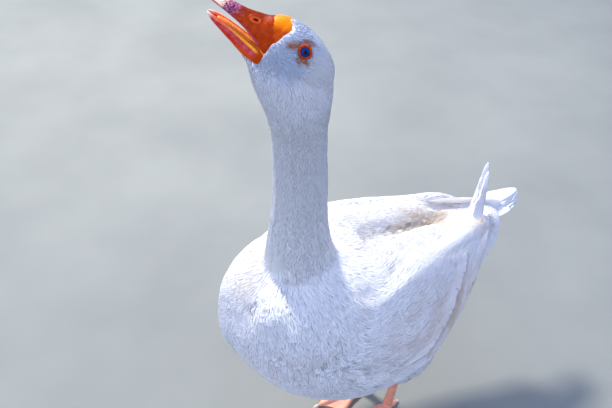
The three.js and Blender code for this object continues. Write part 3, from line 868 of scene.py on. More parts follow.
# Velvet, vanes and loose barbs. Spacing is in mm, fringe is how ragged a tip is, splay in radians, stand how
# high the tips stand in the coat's depth, and root how high the roots do.
#    region, spacing, kind, rows, columns, fringe, barbs, splay, crown, stand, root, long, wide
COATS = {
    "coat_face": ("face", 1.1, "neck", 2, 2, 0.3, 0, 0.12, 0.02, 1.0, 0.0, 1, 1),
    "coat_crown": ("crown", 1.25, "neck", 3, 2, 0.3, 0, 0.12, 0.02, 1.0, 0.0, 1.3, 0.6),
    "coat_neck_upper": ("neck_upper", 1.45, "neck", 2, 2, 0.3, 0, 0.10, 0.03, 1.0, 0.1, 1.4, 0.5),
    "coat_neck_lower": ("neck_lower", 1.65, "neck", 2, 2, 0.3, 0, 0.12, 0.03, 1.0, 0.2, 1.0, 0.46),
    "coat_breast": ("breast", 8.5, "body", 6, 4, 0.12, 9, 0.20, 0.015, 0.92, -0.1, 0.85, 0.9),
    "coat_belly": ("belly", 9.5, "body", 6, 4, 0.12, 9, 0.20, 0.015, 0.92, -0.1, 0.85, 0.9),
    "coat_back": ("back", 10, "body", 6, 4, 0.12, 9, 0.18, 0.015, 0.92, -0.1, 0.85, 0.9),
    "coat_wing_left": ("wing_left", 12, "body", 7, 4, 0.12, 9, 0.10, 0.015, 0.92, -0.1, 0.9, 0.9),
    "coat_wing_right": ("wing_right", 12, "body", 7, 4, 0.12, 9, 0.10, 0.015, 0.92, -0.1, 0.9, 0.9),
    "coat_thigh": ("thigh", 7, "body", 5, 4, 0.12, 9, 0.2, 0.02, 0.92, -0.1, 0.85, 0.9),
    "barbs_breast": ("breast", 2.2, "neck", 2, 2, 0.3, 0, 0.12, 0.02, 1.02, 0.85, 0.50, 0.08),
    "barbs_belly": ("belly", 2.5, "neck", 2, 2, 0.3, 0, 0.14, 0.02, 1.02, 0.85, 0.50, 0.08),
    "barbs_back": ("back", 2.1, "neck", 2, 2, 0.3, 0, 0.14, 0.02, 1.02, 0.85, 0.45, 0.07),
    "barbs_wing_left": ("wing_left", 2.2, "neck", 2, 2, 0.3, 0, 0.10, 0.02, 1.02, 0.85, 0.40, 0.065),
    "barbs_wing_right": ("wing_right", 2.2, "neck", 2, 2, 0.3, 0, 0.10, 0.02, 1.02, 0.85, 0.40, 0.065),
    "barbs_thigh": ("thigh", 2.5, "neck", 2, 2, 0.3, 0, 0.14, 0.02, 1.02, 0.85, 0.50, 0.08),
}
for region, weight in REGIONS.items():
    keep(skin, region, np.clip(weight, 0, 1) * in_plumage)
for seed, (name, coat_values) in enumerate(COATS.items()):
    region, spacing, kind, rows, columns, fringe, barbs, splay, crown, stand, root, long, wide = coat_values
    coat = grown(name, skin, planting, {
        "Bed": bed, "Vanes": vane_set(name + "_vanes", kind, rows, columns, fringe, 10 * seed, barbs),
        "Finish": plumage_finish, "Region": region, "Spacing": spacing * MM, "Splay": splay,
        "Crown": crown, "Stand": stand, "Root": root, "Long": float(long), "Wide": float(wide), "Seed": seed})
    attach(coat, "root")

# ---------------------------------------------------------------- quills of tail and wings
# Tail feathers lie shut in a narrow fan. The primaries of each folded wing are a shut bundle past the
# rump: the left one is cocked up and the right one rests on the tail. Secondaries, tertials and their
# coverts are long stiff vanes that lie flat on the wing, each lapping the next.


def quill(path, widths, face, random, rows=16):
    """Points, faces and vane coordinates of one long feather along a path, with a notch here and there.

    Path and widths are in mm, and face is the way that its upper side looks."""
    columns, thick, shaft_ridge = 6, 0.5 * MM, 0.25 * MM
    path, face = np.array(path, float) * MM, unit(np.array(face, float))
    points, at = [], []
    for row in range(rows + 1):
        y = (row / rows) ** 0.9
        centre = along(path, y)
        run = unit(along(path, min(y + 0.08, 1)) - along(path, max(y - 0.08, 0)))
        beside = unit(np.cross(run, face))
        above = np.cross(beside, run)
        half = np.interp(y, np.linspace(0, 1, len(widths)), widths) * MM / 2
        half *= math.sqrt(max(1 - max((y - 0.86) / 0.145, 0) ** 2, 0))
        for column in range(columns + 1):
            x = 2 * column / columns - 1
            notched = abs(x) == 1 and random.random() < 0.16 and y > 0.25
            notch = 0.86 if notched else 1.0
            crown = 0.10 * half * (1 - x * x) + (shaft_ridge if column * 2 == columns else 0)
            points.append(centre + beside * half * x * notch + above * crown)
            at.append((x, y, 1 - x * x))
    width = columns + 1
    top = len(points)
    for index in range(top):
        if abs(at[index][0]) < 1:
            points.append(points[index] - above * thick)
            at.append(at[index])
    inner = columns - 1

    def under(row, column):
        """The point below a point of the upper side; the two edges have none of their own."""
        if column in (0, columns):
            return row * width + column
        return top + row * inner + column - 1

    faces = []
    for row in range(rows):
        for column in range(columns):
            a, b = row * width + column, row * width + column + 1
            faces.append((a, b, b + width, a + width))
            faces.append((under(row, column), under(row + 1, column), under(row + 1, column + 1),
                          under(row, column + 1)))
    for row, turn in ((0, 1), (rows, -1)):
        for column in range(columns):
            corner = row * width + column
            rim = list(dict.fromkeys([corner, corner + 1, under(row, column + 1), under(row, column)]))
            if len(rim) > 2:
                faces.append(tuple(rim[::-turn]))
    return np.array(points), faces, np.array(at)


def feather_piece(name, feathers, root_patch, seed, soil_and_shade=0.0):
    """Joins feathers into one piece that wears the plumage finish, with its patches at the roots."""
    random = np.random.default_rng(seed)
    points, faces = gathered([f[:2] for f in feathers])
    piece = new_piece(name, points, faces, plumage_finish)
    counts = [len(f[0]) for f in feathers]
    keep(piece, "vane", np.concatenate([f[2] for f in feathers]))
    keep(piece, "tint", np.repeat(random.uniform(0, 1, len(feathers)), counts))
    # Each feather's soiling, which on the wing quills also carries the painted shade of the skin beneath.
    keep(piece, "stain_and_shade", np.repeat(soil_and_shade + random.uniform(0.02, 0.14, len(feathers)), counts))
    layer = piece.data.uv_layers.new(name="OFBake")
    vane_of = np.concatenate([f[2][:, :2] * PATCH_SIZE for f in feathers])
    patches = np.repeat(np.array(root_patch), counts, axis=0) + vane_of
    corners = np.empty(len(piece.data.loops), int)
    piece.data.loops.foreach_get("vertex_index", corners)
    layer.data.foreach_set("uv", patches[corners].ravel())
    return piece


TAIL_HALF_COUNT, TAIL_WIDTHS = 8, [9, 18, 23, 22, 15]
rectrices = []
for k in sorted(range(-TAIL_HALF_COUNT, TAIL_HALF_COUNT + 1), key=lambda k: -abs(k)):
    reach = 303.5 - 0.28 * k * k
    height = 297.5 - 0.55 * abs(k)
    path = [(3.0 * k, 179.5, height), (2.9 * k, 242.5, height - 1), (1.55 * k, reach, height - 5)]
    rectrices.append(quill(path, TAIL_WIDTHS, (0.02 * k, 0, 1), np.random.default_rng(40 + k)))
root_patches = [(0.30 + 0.02 * k, 0.6) for k in range(len(rectrices))]
tail = feather_piece("tail_feathers", rectrices, root_patches, 3)
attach(tail, "root")
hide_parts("tail")

PRIMARY_PATHS = {
    "left": [(54, 103.5, 316), (40, 135.5, 332), (24, 169.5, 354), (13, 193.5, 380), (9, 203.5, 394)],
    "right": [(-54, 103.5, 316), (-38, 137.5, 322), (-14, 185.5, 314), (2, 223.5, 306), (8, 249.5, 300)],
}
PRIMARY_WIDTHS, TERTIAL_WIDTHS = [40, 37, 32, 26, 20, 14, 8], [15, 18, 17, 14, 10, 5]
PRIMARIES, TERTIALS = 7, 12
for hand, path in PRIMARY_PATHS.items():
    outward = 1 if hand == "left" else -1
    bundle = []
    for k in range(PRIMARIES):
        spine = along(path, np.linspace(0, 1 - 0.075 * k, 7))
        spine += np.array([outward * (1.5 * k - 5), 0, -1.1 * k])
        bundle.append(quill(spine, PRIMARY_WIDTHS, (outward, 0, 0.25), np.random.default_rng(60 + k)))
    # A cone of tertials leads up from the back into the cocked left bundle.
    for k in range(TERTIALS if hand == "left" else 0):
        t = k / (TERTIALS - 1)
        root = np.array([45 + 20 * t - 5 * t * t, 50 + 82 * t, 346 - 24 * t * t])
        low = along(path, 0.46 - 0.012 * k) + (3, -2 + 5 * t, -1)
        high = along(path, 0.82 - 0.03 * k)
        spine = [root, 0.5 * (root + low) + (1, 3, -3), low, 0.5 * (low + high) + (1, 0, 0), high]
        bundle.append(quill(spine, TERTIAL_WIDTHS, (1, -0.35, 0.4), np.random.default_rng(90 + k), 12))
    root_patches = [(0.2 + 0.03 * k, 0.66) for k in range(len(bundle))]
    piece = feather_piece("primary_feathers_" + hand, bundle, root_patches, 5, 0.12)
    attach(piece, "root")
    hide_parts("primaries_" + hand)


def laid_feathers(name, rows, seed):
    """Long vanes laid on the skin from roots along lines of the left wing, mirrored for the right one.

    Each row is its line of roots in metres, their count, the vane's length, width, and lift of root and tip
    in mm, and how steeply it drops."""
    for hand, sign in (("left", 1), ("right", -1)):
        random = np.random.default_rng(seed)
        feathers, patches, soil_and_shade = [], [], []
        for line, number, long, wide, root_lift, tip_lift, drop in rows:
            for k in range(number):
                root = along(line, k / (number - 1))
                root = (root + random.normal(0, 0.0012, 3)) * (sign, 1, 1)
                nearest = np.argmin(np.linalg.norm(outline - root, axis=1))
                out = up[nearest]
                run = np.array([-0.27 * sign, 1, drop]) + random.normal(0, 0.02, 3)
                run = unit(run - (run @ out) * out)
                beside = np.cross(run, out)
                shape, faces, at = vane_shape("body", 12, 6, 0.05, random, 13)
                reach = long * random.uniform(0.94, 1.06) * MM
                points = outline[nearest] + shape[:, 1:2] * run * reach + shape[:, :1] * beside * wide * MM
                lift = root_lift + (tip_lift - root_lift) * np.clip(shape[:, 1], 0, 1) ** 0.35
                lift += 0.035 * wide * at[:, 2] + 0.35 * sign * at[:, 0] * ramp(at[:, 1], 0, 0.2)
                feathers.append((points, faces, at, lift * MM))
                patches.append(patch_at[nearest, :2])
                # The quills take the soiling and painted shade of the skin at their roots.
                soil_and_shade.append(0.8 * stain_and_shade[nearest])
        flat = feather_piece(f"{name}_flat", [f[:3] for f in feathers], patches, seed, np.array(soil_and_shade))
        righted(flat)
        keep(flat, "lift", np.concatenate([f[3] for f in feathers]))
        piece = grown(f"{name}_{hand}", flat, laying, {"Bed": bed, "Finish": plumage_finish})
        discard(flat)
        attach(piece, "root")


laid_feathers("wing_quills", [
    ([(0.132, -0.085, 0.258), (0.128, -0.035, 0.278), (0.116, 0.02, 0.302), (0.100, 0.06, 0.322)],
     17, 104, 17, 0.4, 2.5, -0.03),
    ([(0.140, -0.135, 0.278), (0.138, -0.085, 0.298), (0.128, -0.035, 0.322), (0.114, 0.01, 0.345)],
     17, 62, 17, 0.4, 2.6, -0.03),
], 11)
discard(bed)

# ---------------------------------------------------------------- bill
# The bill is bone under a thin horny sheath: a ridged upper half with a swollen base and slit nostrils, a
# troughed lower half, an ivory nail at the tip and a comb of lamellae along each edge.

#     forward, half width, top, widest at and rim, in mm on the head
UPPER_BILL = [
    (19, 6, -10, -17, -24), (25, 15, 8, -18, -30), (29, 18, 13, -18.5, -31.8), (36, 17.8, 13.1, -19.5, -31.6),
    (42, 16.7, 9.7, -20, -30.4), (47, 16.0, 5.9, -20.4, -29.0), (54, 15.1, 0.7, -20.6, -26.9),
    (64, 13.8, -4.0, -20.8, -24.9), (74, 12.9, -8.2, -21, -24.1), (85, 12.3, -11.6, -21.4, -24.0),
    (95, 11.7, -14.2, -21.9, -24.3), (103, 10.5, -17.4, -22.8, -25.0), (109, 7.9, -20.9, -24, -26.0),
    (112.5, 4.4, -24.0, -25.6, -27.2), (113.8, 0.4, -26.8, -27.3, -27.8),
]


def wrapped(points, outer):
    """Bill points drawn onto the head near the feather edge: a thin sheath before it, sunk behind it."""
    head_ends, sheath, sunk_by = 46, 0.5, 1.6
    placed = from_head(points)
    for k in np.flatnonzero(outer & (points[:, 1] < head_ends)):
        near, _, face, _ = face_shell.find_nearest(Vector(placed[k]))
        out = unit(face_up[list(quads[face])].mean(0))
        above = (placed[k] - np.array(near)) @ out / MM
        sunk = ramp(past_edge(points[k:k + 1])[0], -0.4, 1.4)
        wanted = (1 - sunk) * max(above, sheath * ramp(points[k, 1], head_ends, 40)) - sunk_by * sunk
        if above < sheath or sunk > 0:
            placed[k] += (wanted - above) * MM * out
    return to_head(placed)


def smooth_table(table, at):
    """A table of stations read at each place by a smooth curve through its rows."""
    table = np.array(table, float)
    place, values = table[:, 0], table[:, 1:]
    slopes = np.gradient(values, place, axis=0)
    k = np.clip(np.searchsorted(place, at) - 1, 0, len(place) - 2)
    span = (place[k + 1] - place[k])[:, None]
    t = ((at - place[k]) / span[:, 0])[:, None]
    return ((2 * t**3 - 3 * t**2 + 1) * values[k] + (t**3 - 2 * t**2 + t) * span * slopes[k]
            + (3 * t**2 - 2 * t**3) * values[k + 1] + (t**3 - t**2) * span * slopes[k + 1])


def tube(rings):
    """A closed shell through rings of equal counts, with a fan over each end."""
    rings = np.array(rings)
    steps, around = rings.shape[:2]
    points = np.concatenate([rings.reshape(-1, 3), [rings[0].mean(0)], [rings[-1].mean(0)]])
    faces = []
    for s in range(steps - 1):
        for a in range(around):
            b = (a + 1) % around
            faces.append((s * around + a, s * around + b, (s + 1) * around + b, (s + 1) * around + a))
    first, last = steps * around, steps * around + 1
    for a in range(around):
        b = (a + 1) % around
        faces.append((first, b, a))
        faces.append((last, (steps - 1) * around + a, (steps - 1) * around + b))
    return points, faces


def on_face_piece(name, own_points, faces, material):
    """A piece given in the head's millimetres, which keeps them as "face_at" for its finish."""
    piece = righted(new_piece(name, from_head(own_points), faces, material))
    keep(piece, "face_at", own_points)
    return piece


def outside_of(rings, outer_steps):
    """Which points of a tube lie on its outside, where each ring has these first."""
    each_ring = np.arange(len(rings[0])) < outer_steps
    return np.concatenate([np.tile(each_ring, len(rings)), [False, False]])


SIDE_STEPS, RIDGE_STEPS, PALATE_STEPS = 13, 53, 17
NOSTRIL = np.array([63.0, -10.2])
NOSTRIL_LEAN = 0.93, -0.37
NOSTRIL_ALONG = unit(np.array(NOSTRIL_LEAN))


def upper_section(half, top, widest, rim, arch, full):
    """One closed ring of the upper half, from the left rim over the ridge and back by the palate."""
    ring = []
    for s in np.linspace(1, 0, SIDE_STEPS + 1)[:-1]:
        ring.append((half * (1 - 0.13 * s * s), widest + (rim - widest) * s))
    for a in np.linspace(math.pi / 2, -math.pi / 2, RIDGE_STEPS):
        x = half * math.copysign(abs(math.sin(a)) ** (2 / (full + 0.15)), a)
        ring.append((x, widest + (top - widest) * max(math.cos(a), 0) ** (2 / full)))
    for s in np.linspace(0, 1, SIDE_STEPS + 1)[1:]:
        ring.append((-half * (1 - 0.13 * s * s), widest + (rim - widest) * s))
    lip = half * 0.87 - min(1.5, half * 0.3)
    for a in np.linspace(math.pi, 0, PALATE_STEPS):
        ring.append((lip * math.cos(a), rim + 0.4 + arch * math.sin(a)))
    return ring


# Stations of the upper half lie closest round the nostrils. Then come the swollen base, the crease before
# it, the nostrils and the pits of the horn, all raised or sunk on the smooth shape.
forward_at = np.unique(np.concatenate([
    np.arange(19, 56, 1.0), np.arange(56, 72, 0.55), np.arange(72, 112, 1.1), [112.5, 113.2, 113.8]]))
rings = []
for f, (half, top, widest, rim) in zip(forward_at, smooth_table(UPPER_BILL, forward_at)):
    arch = min(6.0, 0.45 * half, 0.6 * (top - rim))
    full = 2.15 - 0.75 * ramp(f, 46, 60)
    rings.append([(x, f, z) for x, z in upper_section(half, top, widest, rim, arch, full)])
points, faces = tube(rings)
outer = outside_of(rings, 2 * SIDE_STEPS + RIDGE_STEPS)
out_dir = unit(points * (1, 0, 1) - (0, 0, -24))
x, f, z = points.T
above_crease = (np.interp(z, [-14, -3.4, 3.6, 8], [32.5, 40, 48, 52]) - f) * 0.8
base_swell = 1.1 * ramp(above_crease, -0.5, 3.0) - 0.7 * np.exp(-(above_crease / 1.1) ** 2)
base_swell *= ramp(f, 60, 52)
offset = np.stack([f, z], 1) - NOSTRIL
a, b = offset @ NOSTRIL_ALONG, offset @ np.array([-NOSTRIL_ALONG[1], NOSTRIL_ALONG[0]])
r = np.hypot(a / 4.6, b / 2.1)
hole = np.hypot((a + 0.9) / 3.2, (b + 0.4) / 1.4)
hood = np.exp(-((r - 1.25) / 0.45) ** 2) * (1 + 0.5 * ramp(b, -1, 1.5))
slit = np.where(np.abs(x) > 3, -2.4 * ramp(hole, 1.1, 0.5) + 0.9 * hood, 0)
pits = 0.16 * clouds(points * MM, 420, 21) + 0.3 * clouds(points * MM, 120, 22)
points = wrapped(points, outer)
drawn_on = (outer * ramp(f, 52, 44) * ramp(f, 23, 27))[:, None]
points += drawn_on * (eased(neighbours(faces, len(points)), points, 14) - points)
points += ((base_swell + slit + pits * ramp(f, 30, 40)) * outer)[:, None] * out_dir

bill_finish, tree, shader = finish("bill_horn", 0.45, Specular_IOR_Level=0.08)
face_x, face_f, face_z = node(tree, "ShaderNodeSeparateXYZ", {0: kept(tree, "face_at", "Vector")}).outputs


def rises(tree, value, low, high):
    """A link that rises smoothly from 0 at low to 1 at high; low may be the larger."""
    return node(tree, "ShaderNodeMapRange", {"Value": value, "From Min": low, "From Max": high},
                interpolation_type="SMOOTHSTEP").outputs["Result"]


# Orange horn whose ridge is darkened by painted shade, a yellow knob that burns to orange below, and a violet
# end before the nail.
blotch = mottle(tree, 160, detail=5)
fine = mottle(tree, 520, detail=3, low=0.4, high=0.62)
orange = mixed(tree, blotch, (0.37, 0.024, 0.0), (0.48, 0.050, 0.0))
orange = mixed(tree, times(tree, fine, 0.25), orange, (0.42, 0.02, 0.0))


def line_at(tree, value, low, high, at_low, at_high, clamp=False):
    """A link that runs straight from at_low to at_high while the value runs from low to high."""
    return node(tree, "ShaderNodeMapRange", {
        "Value": value, "From Min": low, "From Max": high, "To Min": at_low, "To Max": at_high},
        clamp=clamp).outputs["Result"]


crease_at = line_at(tree, face_z, -14.0, 3.6, 32.5, 48.0)
ragged = times(tree, less(tree, blotch, 0.5), 3.0)
on_knob = rises(tree, plus(tree, ragged, less(tree, crease_at, face_f)), -1.0, 1.4)
knob_low = plus(tree, face_z, times(tree, less(tree, face_f, 40.0), 0.5))
knob_yellow = mixed(tree, blotch, (0.95, 0.18, 0.0), (1.0, 0.25, 0.0))
knob_burnt = mixed(tree, blotch, (0.52, 0.05, 0.0), (0.62, 0.08, 0.0))
# Painted shade darkens the top of the upper half along its ridge.
painted_ridge_shade = times(tree, rises(tree, sums(tree, "ABSOLUTE", face_x), 11.0, 5.0),
                times(tree, rises(tree, face_z, -20.0, -13.0), 0.8))
orange = mixed(tree, painted_ridge_shade, orange, (0.16, 0.014, 0.0))
orange = mixed(tree, on_knob, orange, mixed(tree, rises(tree, knob_low, 4.5, -3.5), knob_yellow, knob_burnt))
rosy = mixed(tree, fine, (0.15, 0.010, 0.05), (0.44, 0.17, 0.26))
distal = rises(tree, plus(tree, face_f, times(tree, blotch, 12.0)), 82.0, 96.0)
horn = mixed(tree, distal, orange, rosy)
rim_drop = times(tree, sums(tree, "MAXIMUM", less(tree, 62.0, face_f), 0.0), 0.2)
near_rim = times(tree, rises(tree, plus(tree, face_z, rim_drop), -21.6, -24.0),
                rises(tree, face_f, 36.0, 52.0))
ivory = rises(tree, plus(tree, face_f, times(tree, fine, 3.0)), 97.0, 102.0)
horn = mixed(tree, ivory, horn, (0.90, 0.58, 0.38))
horn = mixed(tree, times(tree, near_rim, 0.8), horn, (0.50, 0.07, 0.16))
nostril_x = less(tree, face_f, float(NOSTRIL[0]))
nostril_z = less(tree, face_z, float(NOSTRIL[1]))
ahead, down = NOSTRIL_LEAN
nostril_a = plus(tree, times(tree, nostril_x, ahead), times(tree, nostril_z, down))
nostril_a = sums(tree, "DIVIDE", nostril_a, 4.4)
nostril_b = plus(tree, times(tree, nostril_x, -down), times(tree, nostril_z, ahead))
nostril_b = sums(tree, "DIVIDE", nostril_b, 2.1)


def oval(tree, lengthwise, beside):
    """How far out a place lies from two distances, 1 on the oval's edge."""
    squares = plus(tree, times(tree, lengthwise, lengthwise), times(tree, beside, beside))
    return sums(tree, "SQRT", squares)


nostril_r = oval(tree, nostril_a, nostril_b)
hole_r = oval(tree, times(tree, plus(tree, nostril_a, 0.2), 1.38),
              times(tree, plus(tree, nostril_b, 0.19), 1.5))
# Round the nostril the horn is painted a lighter orange, a painted highlight on its raised rim, and its hole
# near black, painted shade in its shallow pit.
horn = mixed(tree, times(tree, rises(tree, nostril_r, 1.7, 1.1), 0.75), horn, (0.84, 0.12, 0.02))
horn = mixed(tree, rises(tree, hole_r, 1.15, 0.8), horn, (0.09, 0.003, 0.003))
coloured(tree, shader, horn)
relief(tree, shader, mottle(tree, 900, detail=2), 0.08 * MM, 0.7)
relief(tree, shader, mottle(tree, 260, detail=4, stretch=(1, 1, 2.5)), 0.2 * MM, 0.6)

bill_top = on_face_piece("upper_bill", points, faces, bill_finish)
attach(bill_top, "root")
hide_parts("bill_upper")


#     forward, half width, rim and bottom, in mm on the head
LOWER_BILL = [
    (21, 10, -34, -49), (30, 14.2, -33.9, -53.4), (40, 12.9, -34.5, -53.6), (54, 11.2, -34.7, -52.7),
    (66, 10.0, -34.8, -50.6), (76, 9.4, -35.3, -49.2), (86, 8.8, -36.1, -47.5), (96, 7.9, -37.6, -45.8),
    (103, 6.0, -39.2, -43.8), (106.5, 3.0, -40.2, -42.2), (107.6, 0.4, -40.9, -41.4),
]
KEEL_STEPS, TROUGH_STEPS = 41, 25


def lower_section(half, rim, bottom):
    """One closed ring of the lower half, from the left rim under the keel and back by the trough."""
    ring = []
    for a in np.linspace(0, math.pi, KEEL_STEPS):
        x = half * math.copysign(abs(math.cos(a)) ** 0.8, math.cos(a))
        ring.append((x, rim - (rim - bottom) * math.sin(a) ** 0.9))
    lip = max(half - 2.0, half * 0.4)
    for a in np.linspace(math.pi, 0, TROUGH_STEPS):
        ring.append((lip * math.cos(a), rim - 0.2 - 0.62 * (rim - bottom) * math.sin(a) ** 0.7))
    return ring


forward_at = np.concatenate([np.arange(21, 106, 1.1), [106.5, 107.2, 107.6]])
rings = [[(x, f, z) for x, z in lower_section(half, rim, bottom)]
         for f, (half, rim, bottom) in zip(forward_at, smooth_table(LOWER_BILL, forward_at))]
points, faces = tube(rings)
x, f, z = points.T
mid_side = (z + 34.8) / np.interp(f, [30, 107], [-18.6, -6.4])
groove = 0.55 * np.exp(-((mid_side - 0.42) / 0.10) ** 2) * ramp(f, 36, 48) * ramp(f, 104, 92)
points = points - (groove * np.sign(x) * (np.abs(x) > 2))[:, None] * np.array([1, 0, 0])
points = wrapped(points, outside_of(rings, KEEL_STEPS))

lower_finish, tree, shader = finish("lower_bill_horn", 0.45, Specular_IOR_Level=0.08)
_, face_f, face_z = node(tree, "ShaderNodeSeparateXYZ", {0: kept(tree, "face_at", "Vector")}).outputs
blotch = mottle(tree, 180, detail=5)
# Pink sides over an orange-red keel, with a yellow rim that turns salmon towards the tip.
pink = mixed(tree, blotch, (0.50, 0.024, 0.040), (0.70, 0.10, 0.09))
keel_back = mixed(tree, blotch, (0.68, 0.050, 0.001), (0.78, 0.09, 0.003))
keel_front = mixed(tree, blotch, (0.66, 0.022, 0.004), (0.74, 0.05, 0.01))
keel = mixed(tree, rises(tree, face_f, 52.0, 72.0), keel_back, keel_front)
above_keel = less(tree, face_z, line_at(tree, face_f, 30.0, 107.0, -46.0, -42.0))
horn = mixed(tree, rises(tree, above_keel, 1.2, -1.2), pink, keel)
rim_back = mixed(tree, blotch, (1.0, 0.33, 0.01), (1.0, 0.45, 0.03))
rim_front = mixed(tree, blotch, (0.92, 0.15, 0.06), (0.95, 0.25, 0.11))
yellow = mixed(tree, rises(tree, face_f, 62.0, 84.0), rim_back, rim_front)
above_side = less(tree, face_z, line_at(tree, face_f, 76.0, 103.0, -37.6, -41.0, clamp=True))
horn = mixed(tree, rises(tree, above_side, -0.8, 0.5), horn, yellow)
horn = mixed(tree, rises(tree, face_f, 43.0, 36.0), horn, (0.52, 0.05, 0.0))
horn = mixed(tree, rises(tree, face_f, 98.0, 105.0), horn, (0.90, 0.62, 0.48))
coloured(tree, shader, horn)
relief(tree, shader, mottle(tree, 900, detail=2), 0.08 * MM, 0.7)
relief(tree, shader, mottle(tree, 240, detail=4), 0.2 * MM, 0.6)
bill_bottom = on_face_piece("lower_bill", points, faces, lower_finish)
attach(bill_bottom, "root")
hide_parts("bill_lower")

# The nail: a bean-shaped shield of harder, paler horn over the tip, hooked a little past the lower half.
nail_finish, tree, shader = finish("nail_horn", 0.4, Specular_IOR_Level=0.2)
coloured(tree, shader, mixed(tree, mottle(tree, 300, detail=4), (0.86, 0.60, 0.42), (0.92, 0.74, 0.58)))
relief(tree, shader, mottle(tree, 500, detail=3, stretch=(1, 1, 3)), 0.1 * MM, 0.6)
NAIL_STARTS, NAIL_LONG = 98.5, 15.3
rings = []
for s in np.linspace(0, 1, 24):
    f = NAIL_STARTS + NAIL_LONG * s
    half, top, widest, _ = smooth_table(UPPER_BILL, np.array([f]))[0]
    reach = 0.06 + 1.0 * math.sqrt(1 - (1 - min(s / 0.55, 1)) ** 2)
    outside, inside = [], []
    for t in np.linspace(1, -1, 21):
        a = reach * t
        x = half * math.copysign(abs(math.sin(a)) ** (2 / 1.55), a)
        z = widest + (top - widest) * math.cos(a) ** (2 / 1.4)
        out = unit(np.array([x, 0, z - widest + 3.5]))
        thick = 0.65 * math.sqrt(1 - 0.9 * t * t) + 0.5 * ramp(s, 0.8, 1)
        outside.append(np.array([x, f, z]) + thick * out)
        inside.append(np.array([x, f, z]) - 0.5 * out)
    rings.append(outside + inside[::-1])
last = np.array(rings[-1])
for shrink, hook in (((0.7, 1, 0.8), (0, 0.7, -0.8)), ((0.3, 1, 0.5), (0, 1.0, -1.8))):
    rings.append((last - last.mean(0)) * shrink + last.mean(0) + hook)
nail = on_face_piece("bill_nail", *tube(rings), nail_finish)
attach(nail, "root")

# Tongue and mouth lining: soft wet flesh, seen through the gape, with a row of spines on the tongue.
flesh_finish, tree, shader = finish("mouth_flesh", 0.3, Subsurface_Weight=0.2, Specular_IOR_Level=0.2,
                                    Coat_Weight=0.1, Coat_Roughness=0.15)
shader.inputs["Subsurface Radius"].default_value = (0.004, 0.0015, 0.001)
coloured(tree, shader, mixed(tree, mottle(tree, 200, detail=4), (0.88, 0.20, 0.02), (1.0, 0.34, 0.03)))
relief(tree, shader, mottle(tree, 700, detail=2), 0.12 * MM, 0.8)
#     forward, half width, top and bottom, in mm on the head
TONGUE = [(29, 2, -35.5, -38.5), (36, 6.4, -33.6, -40), (44, 7.2, -33.2, -40.0), (60, 6.4, -33.4, -39.6),
          (76, 5.6, -34.0, -39.4), (88, 4.4, -35.2, -39.4), (94, 2.6, -36.7, -39.6), (96, 0.4, -37.8, -38.6)]
forward_at = np.linspace(29, 96, 44)
rings = []
for f, (half, top, bottom) in zip(forward_at, smooth_table(TONGUE, forward_at)):
    mid, deep = (top + bottom) / 2, (top - bottom) / 2
    ring = []
    for a in np.linspace(0, 2 * math.pi, 33)[:-1]:
        x = half * math.cos(a)
        furrow = 0.9 * math.exp(-(x / 1.6) ** 2) * (math.sin(a) > 0)
        ring.append((x, f, mid + deep * math.sin(a) - furrow))
    rings.append(ring)
tongue = on_face_piece("tongue_flesh", *tube(rings), flesh_finish)
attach(tongue, "root")
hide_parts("tongue")

points, faces = ball((0, 33, -33.0), (13.6, 8.0, 4.2), 40, 24)
lining = on_face_piece("mouth_lining", to_head(points), faces, flesh_finish)
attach(lining, "root")

# Combs: lamellae along the edges of the bill and spines along the tongue, set by one tree along a line.
combing = bpy.data.node_groups.new("comb_along_line", "GeometryNodeTree")
given, result = inlets(combing, ("Geometry", "Geometry"), ("Tooth", "Object"), ("Pitch", "Float"),
                       ("Finish", "Material"))
line = node(combing, "GeometryNodeMeshToCurve", {"Mesh": given["Geometry"]}).outputs[0]
line = node(combing, "GeometryNodeResampleCurve", {"Curve": line, "Length": given["Pitch"]},
            mode="LENGTH").outputs[0]
stands_by = node(combing, "FunctionNodeAxesToRotation", {
    "Primary Axis": named(combing, "stands", "FLOAT_VECTOR"),
    "Secondary Axis": node(combing, "GeometryNodeInputTangent").outputs[0],
}, primary_axis="Z", secondary_axis="Y")
size_by = node(combing, "ShaderNodeCombineXYZ", {axis: named(combing, "grow") for axis in range(3)})
one_tooth = node(combing, "GeometryNodeObjectInfo", {"Object": given["Tooth"]}).outputs["Geometry"]
teeth = node(combing, "GeometryNodeInstanceOnPoints", {
    "Points": line, "Instance": one_tooth, "Rotation": stands_by.outputs[0],
    "Scale": size_by.outputs[0]}).outputs[0]
ended(combing, teeth, given, result)


def tooth_shape(name, long, wide, tall):
    """A low rounded tooth that stands on its origin, long on x, its row running on y."""
    rings = []
    for s in (0, 0.35, 0.7, 0.92, 1.0):
        shrink = math.sqrt(max(1 - s ** 2.2, 0.004))
        rings.append([(long / 2 * shrink * math.cos(a), wide / 2 * shrink * math.sin(a), tall * s)
                      for a in np.linspace(0, 2 * math.pi, 9)[:-1]])
    points, faces = tube(np.array(rings) * MM)
    return righted(new_piece(name, points, faces))


def comb(name, lines, tooth, pitch, material):
    """Sets a tooth along lines of points in the head's millimetres; each line says where it stands to."""
    points, edges, stands, grow = [], [], [], []
    for own_line, stand in lines:
        start = len(points)
        place = from_head(own_line)
        points += list(place)
        edges += [(start + k, start + k + 1) for k in range(len(place) - 1)]
        direction = unit(np.array(from_head(stand)) - np.array(HEAD_AT))
        stands += [direction] * len(place)
        grow += list(0.55 + 0.45 * np.sin(np.linspace(0.25, math.pi - 0.2, len(place))))
    mesh = bpy.data.meshes.new(name + "_line")
    mesh.from_pydata([tuple(p) for p in points], edges, [])
    carrier = bpy.data.objects.new(name + "_line", mesh)
    keep(carrier, "stands", stands)
    keep(carrier, "grow", grow)
    piece = grown(name, carrier, combing, {"Tooth": tooth, "Pitch": pitch * MM, "Finish": material})
    bpy.data.objects.remove(carrier)
    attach(piece, "root")


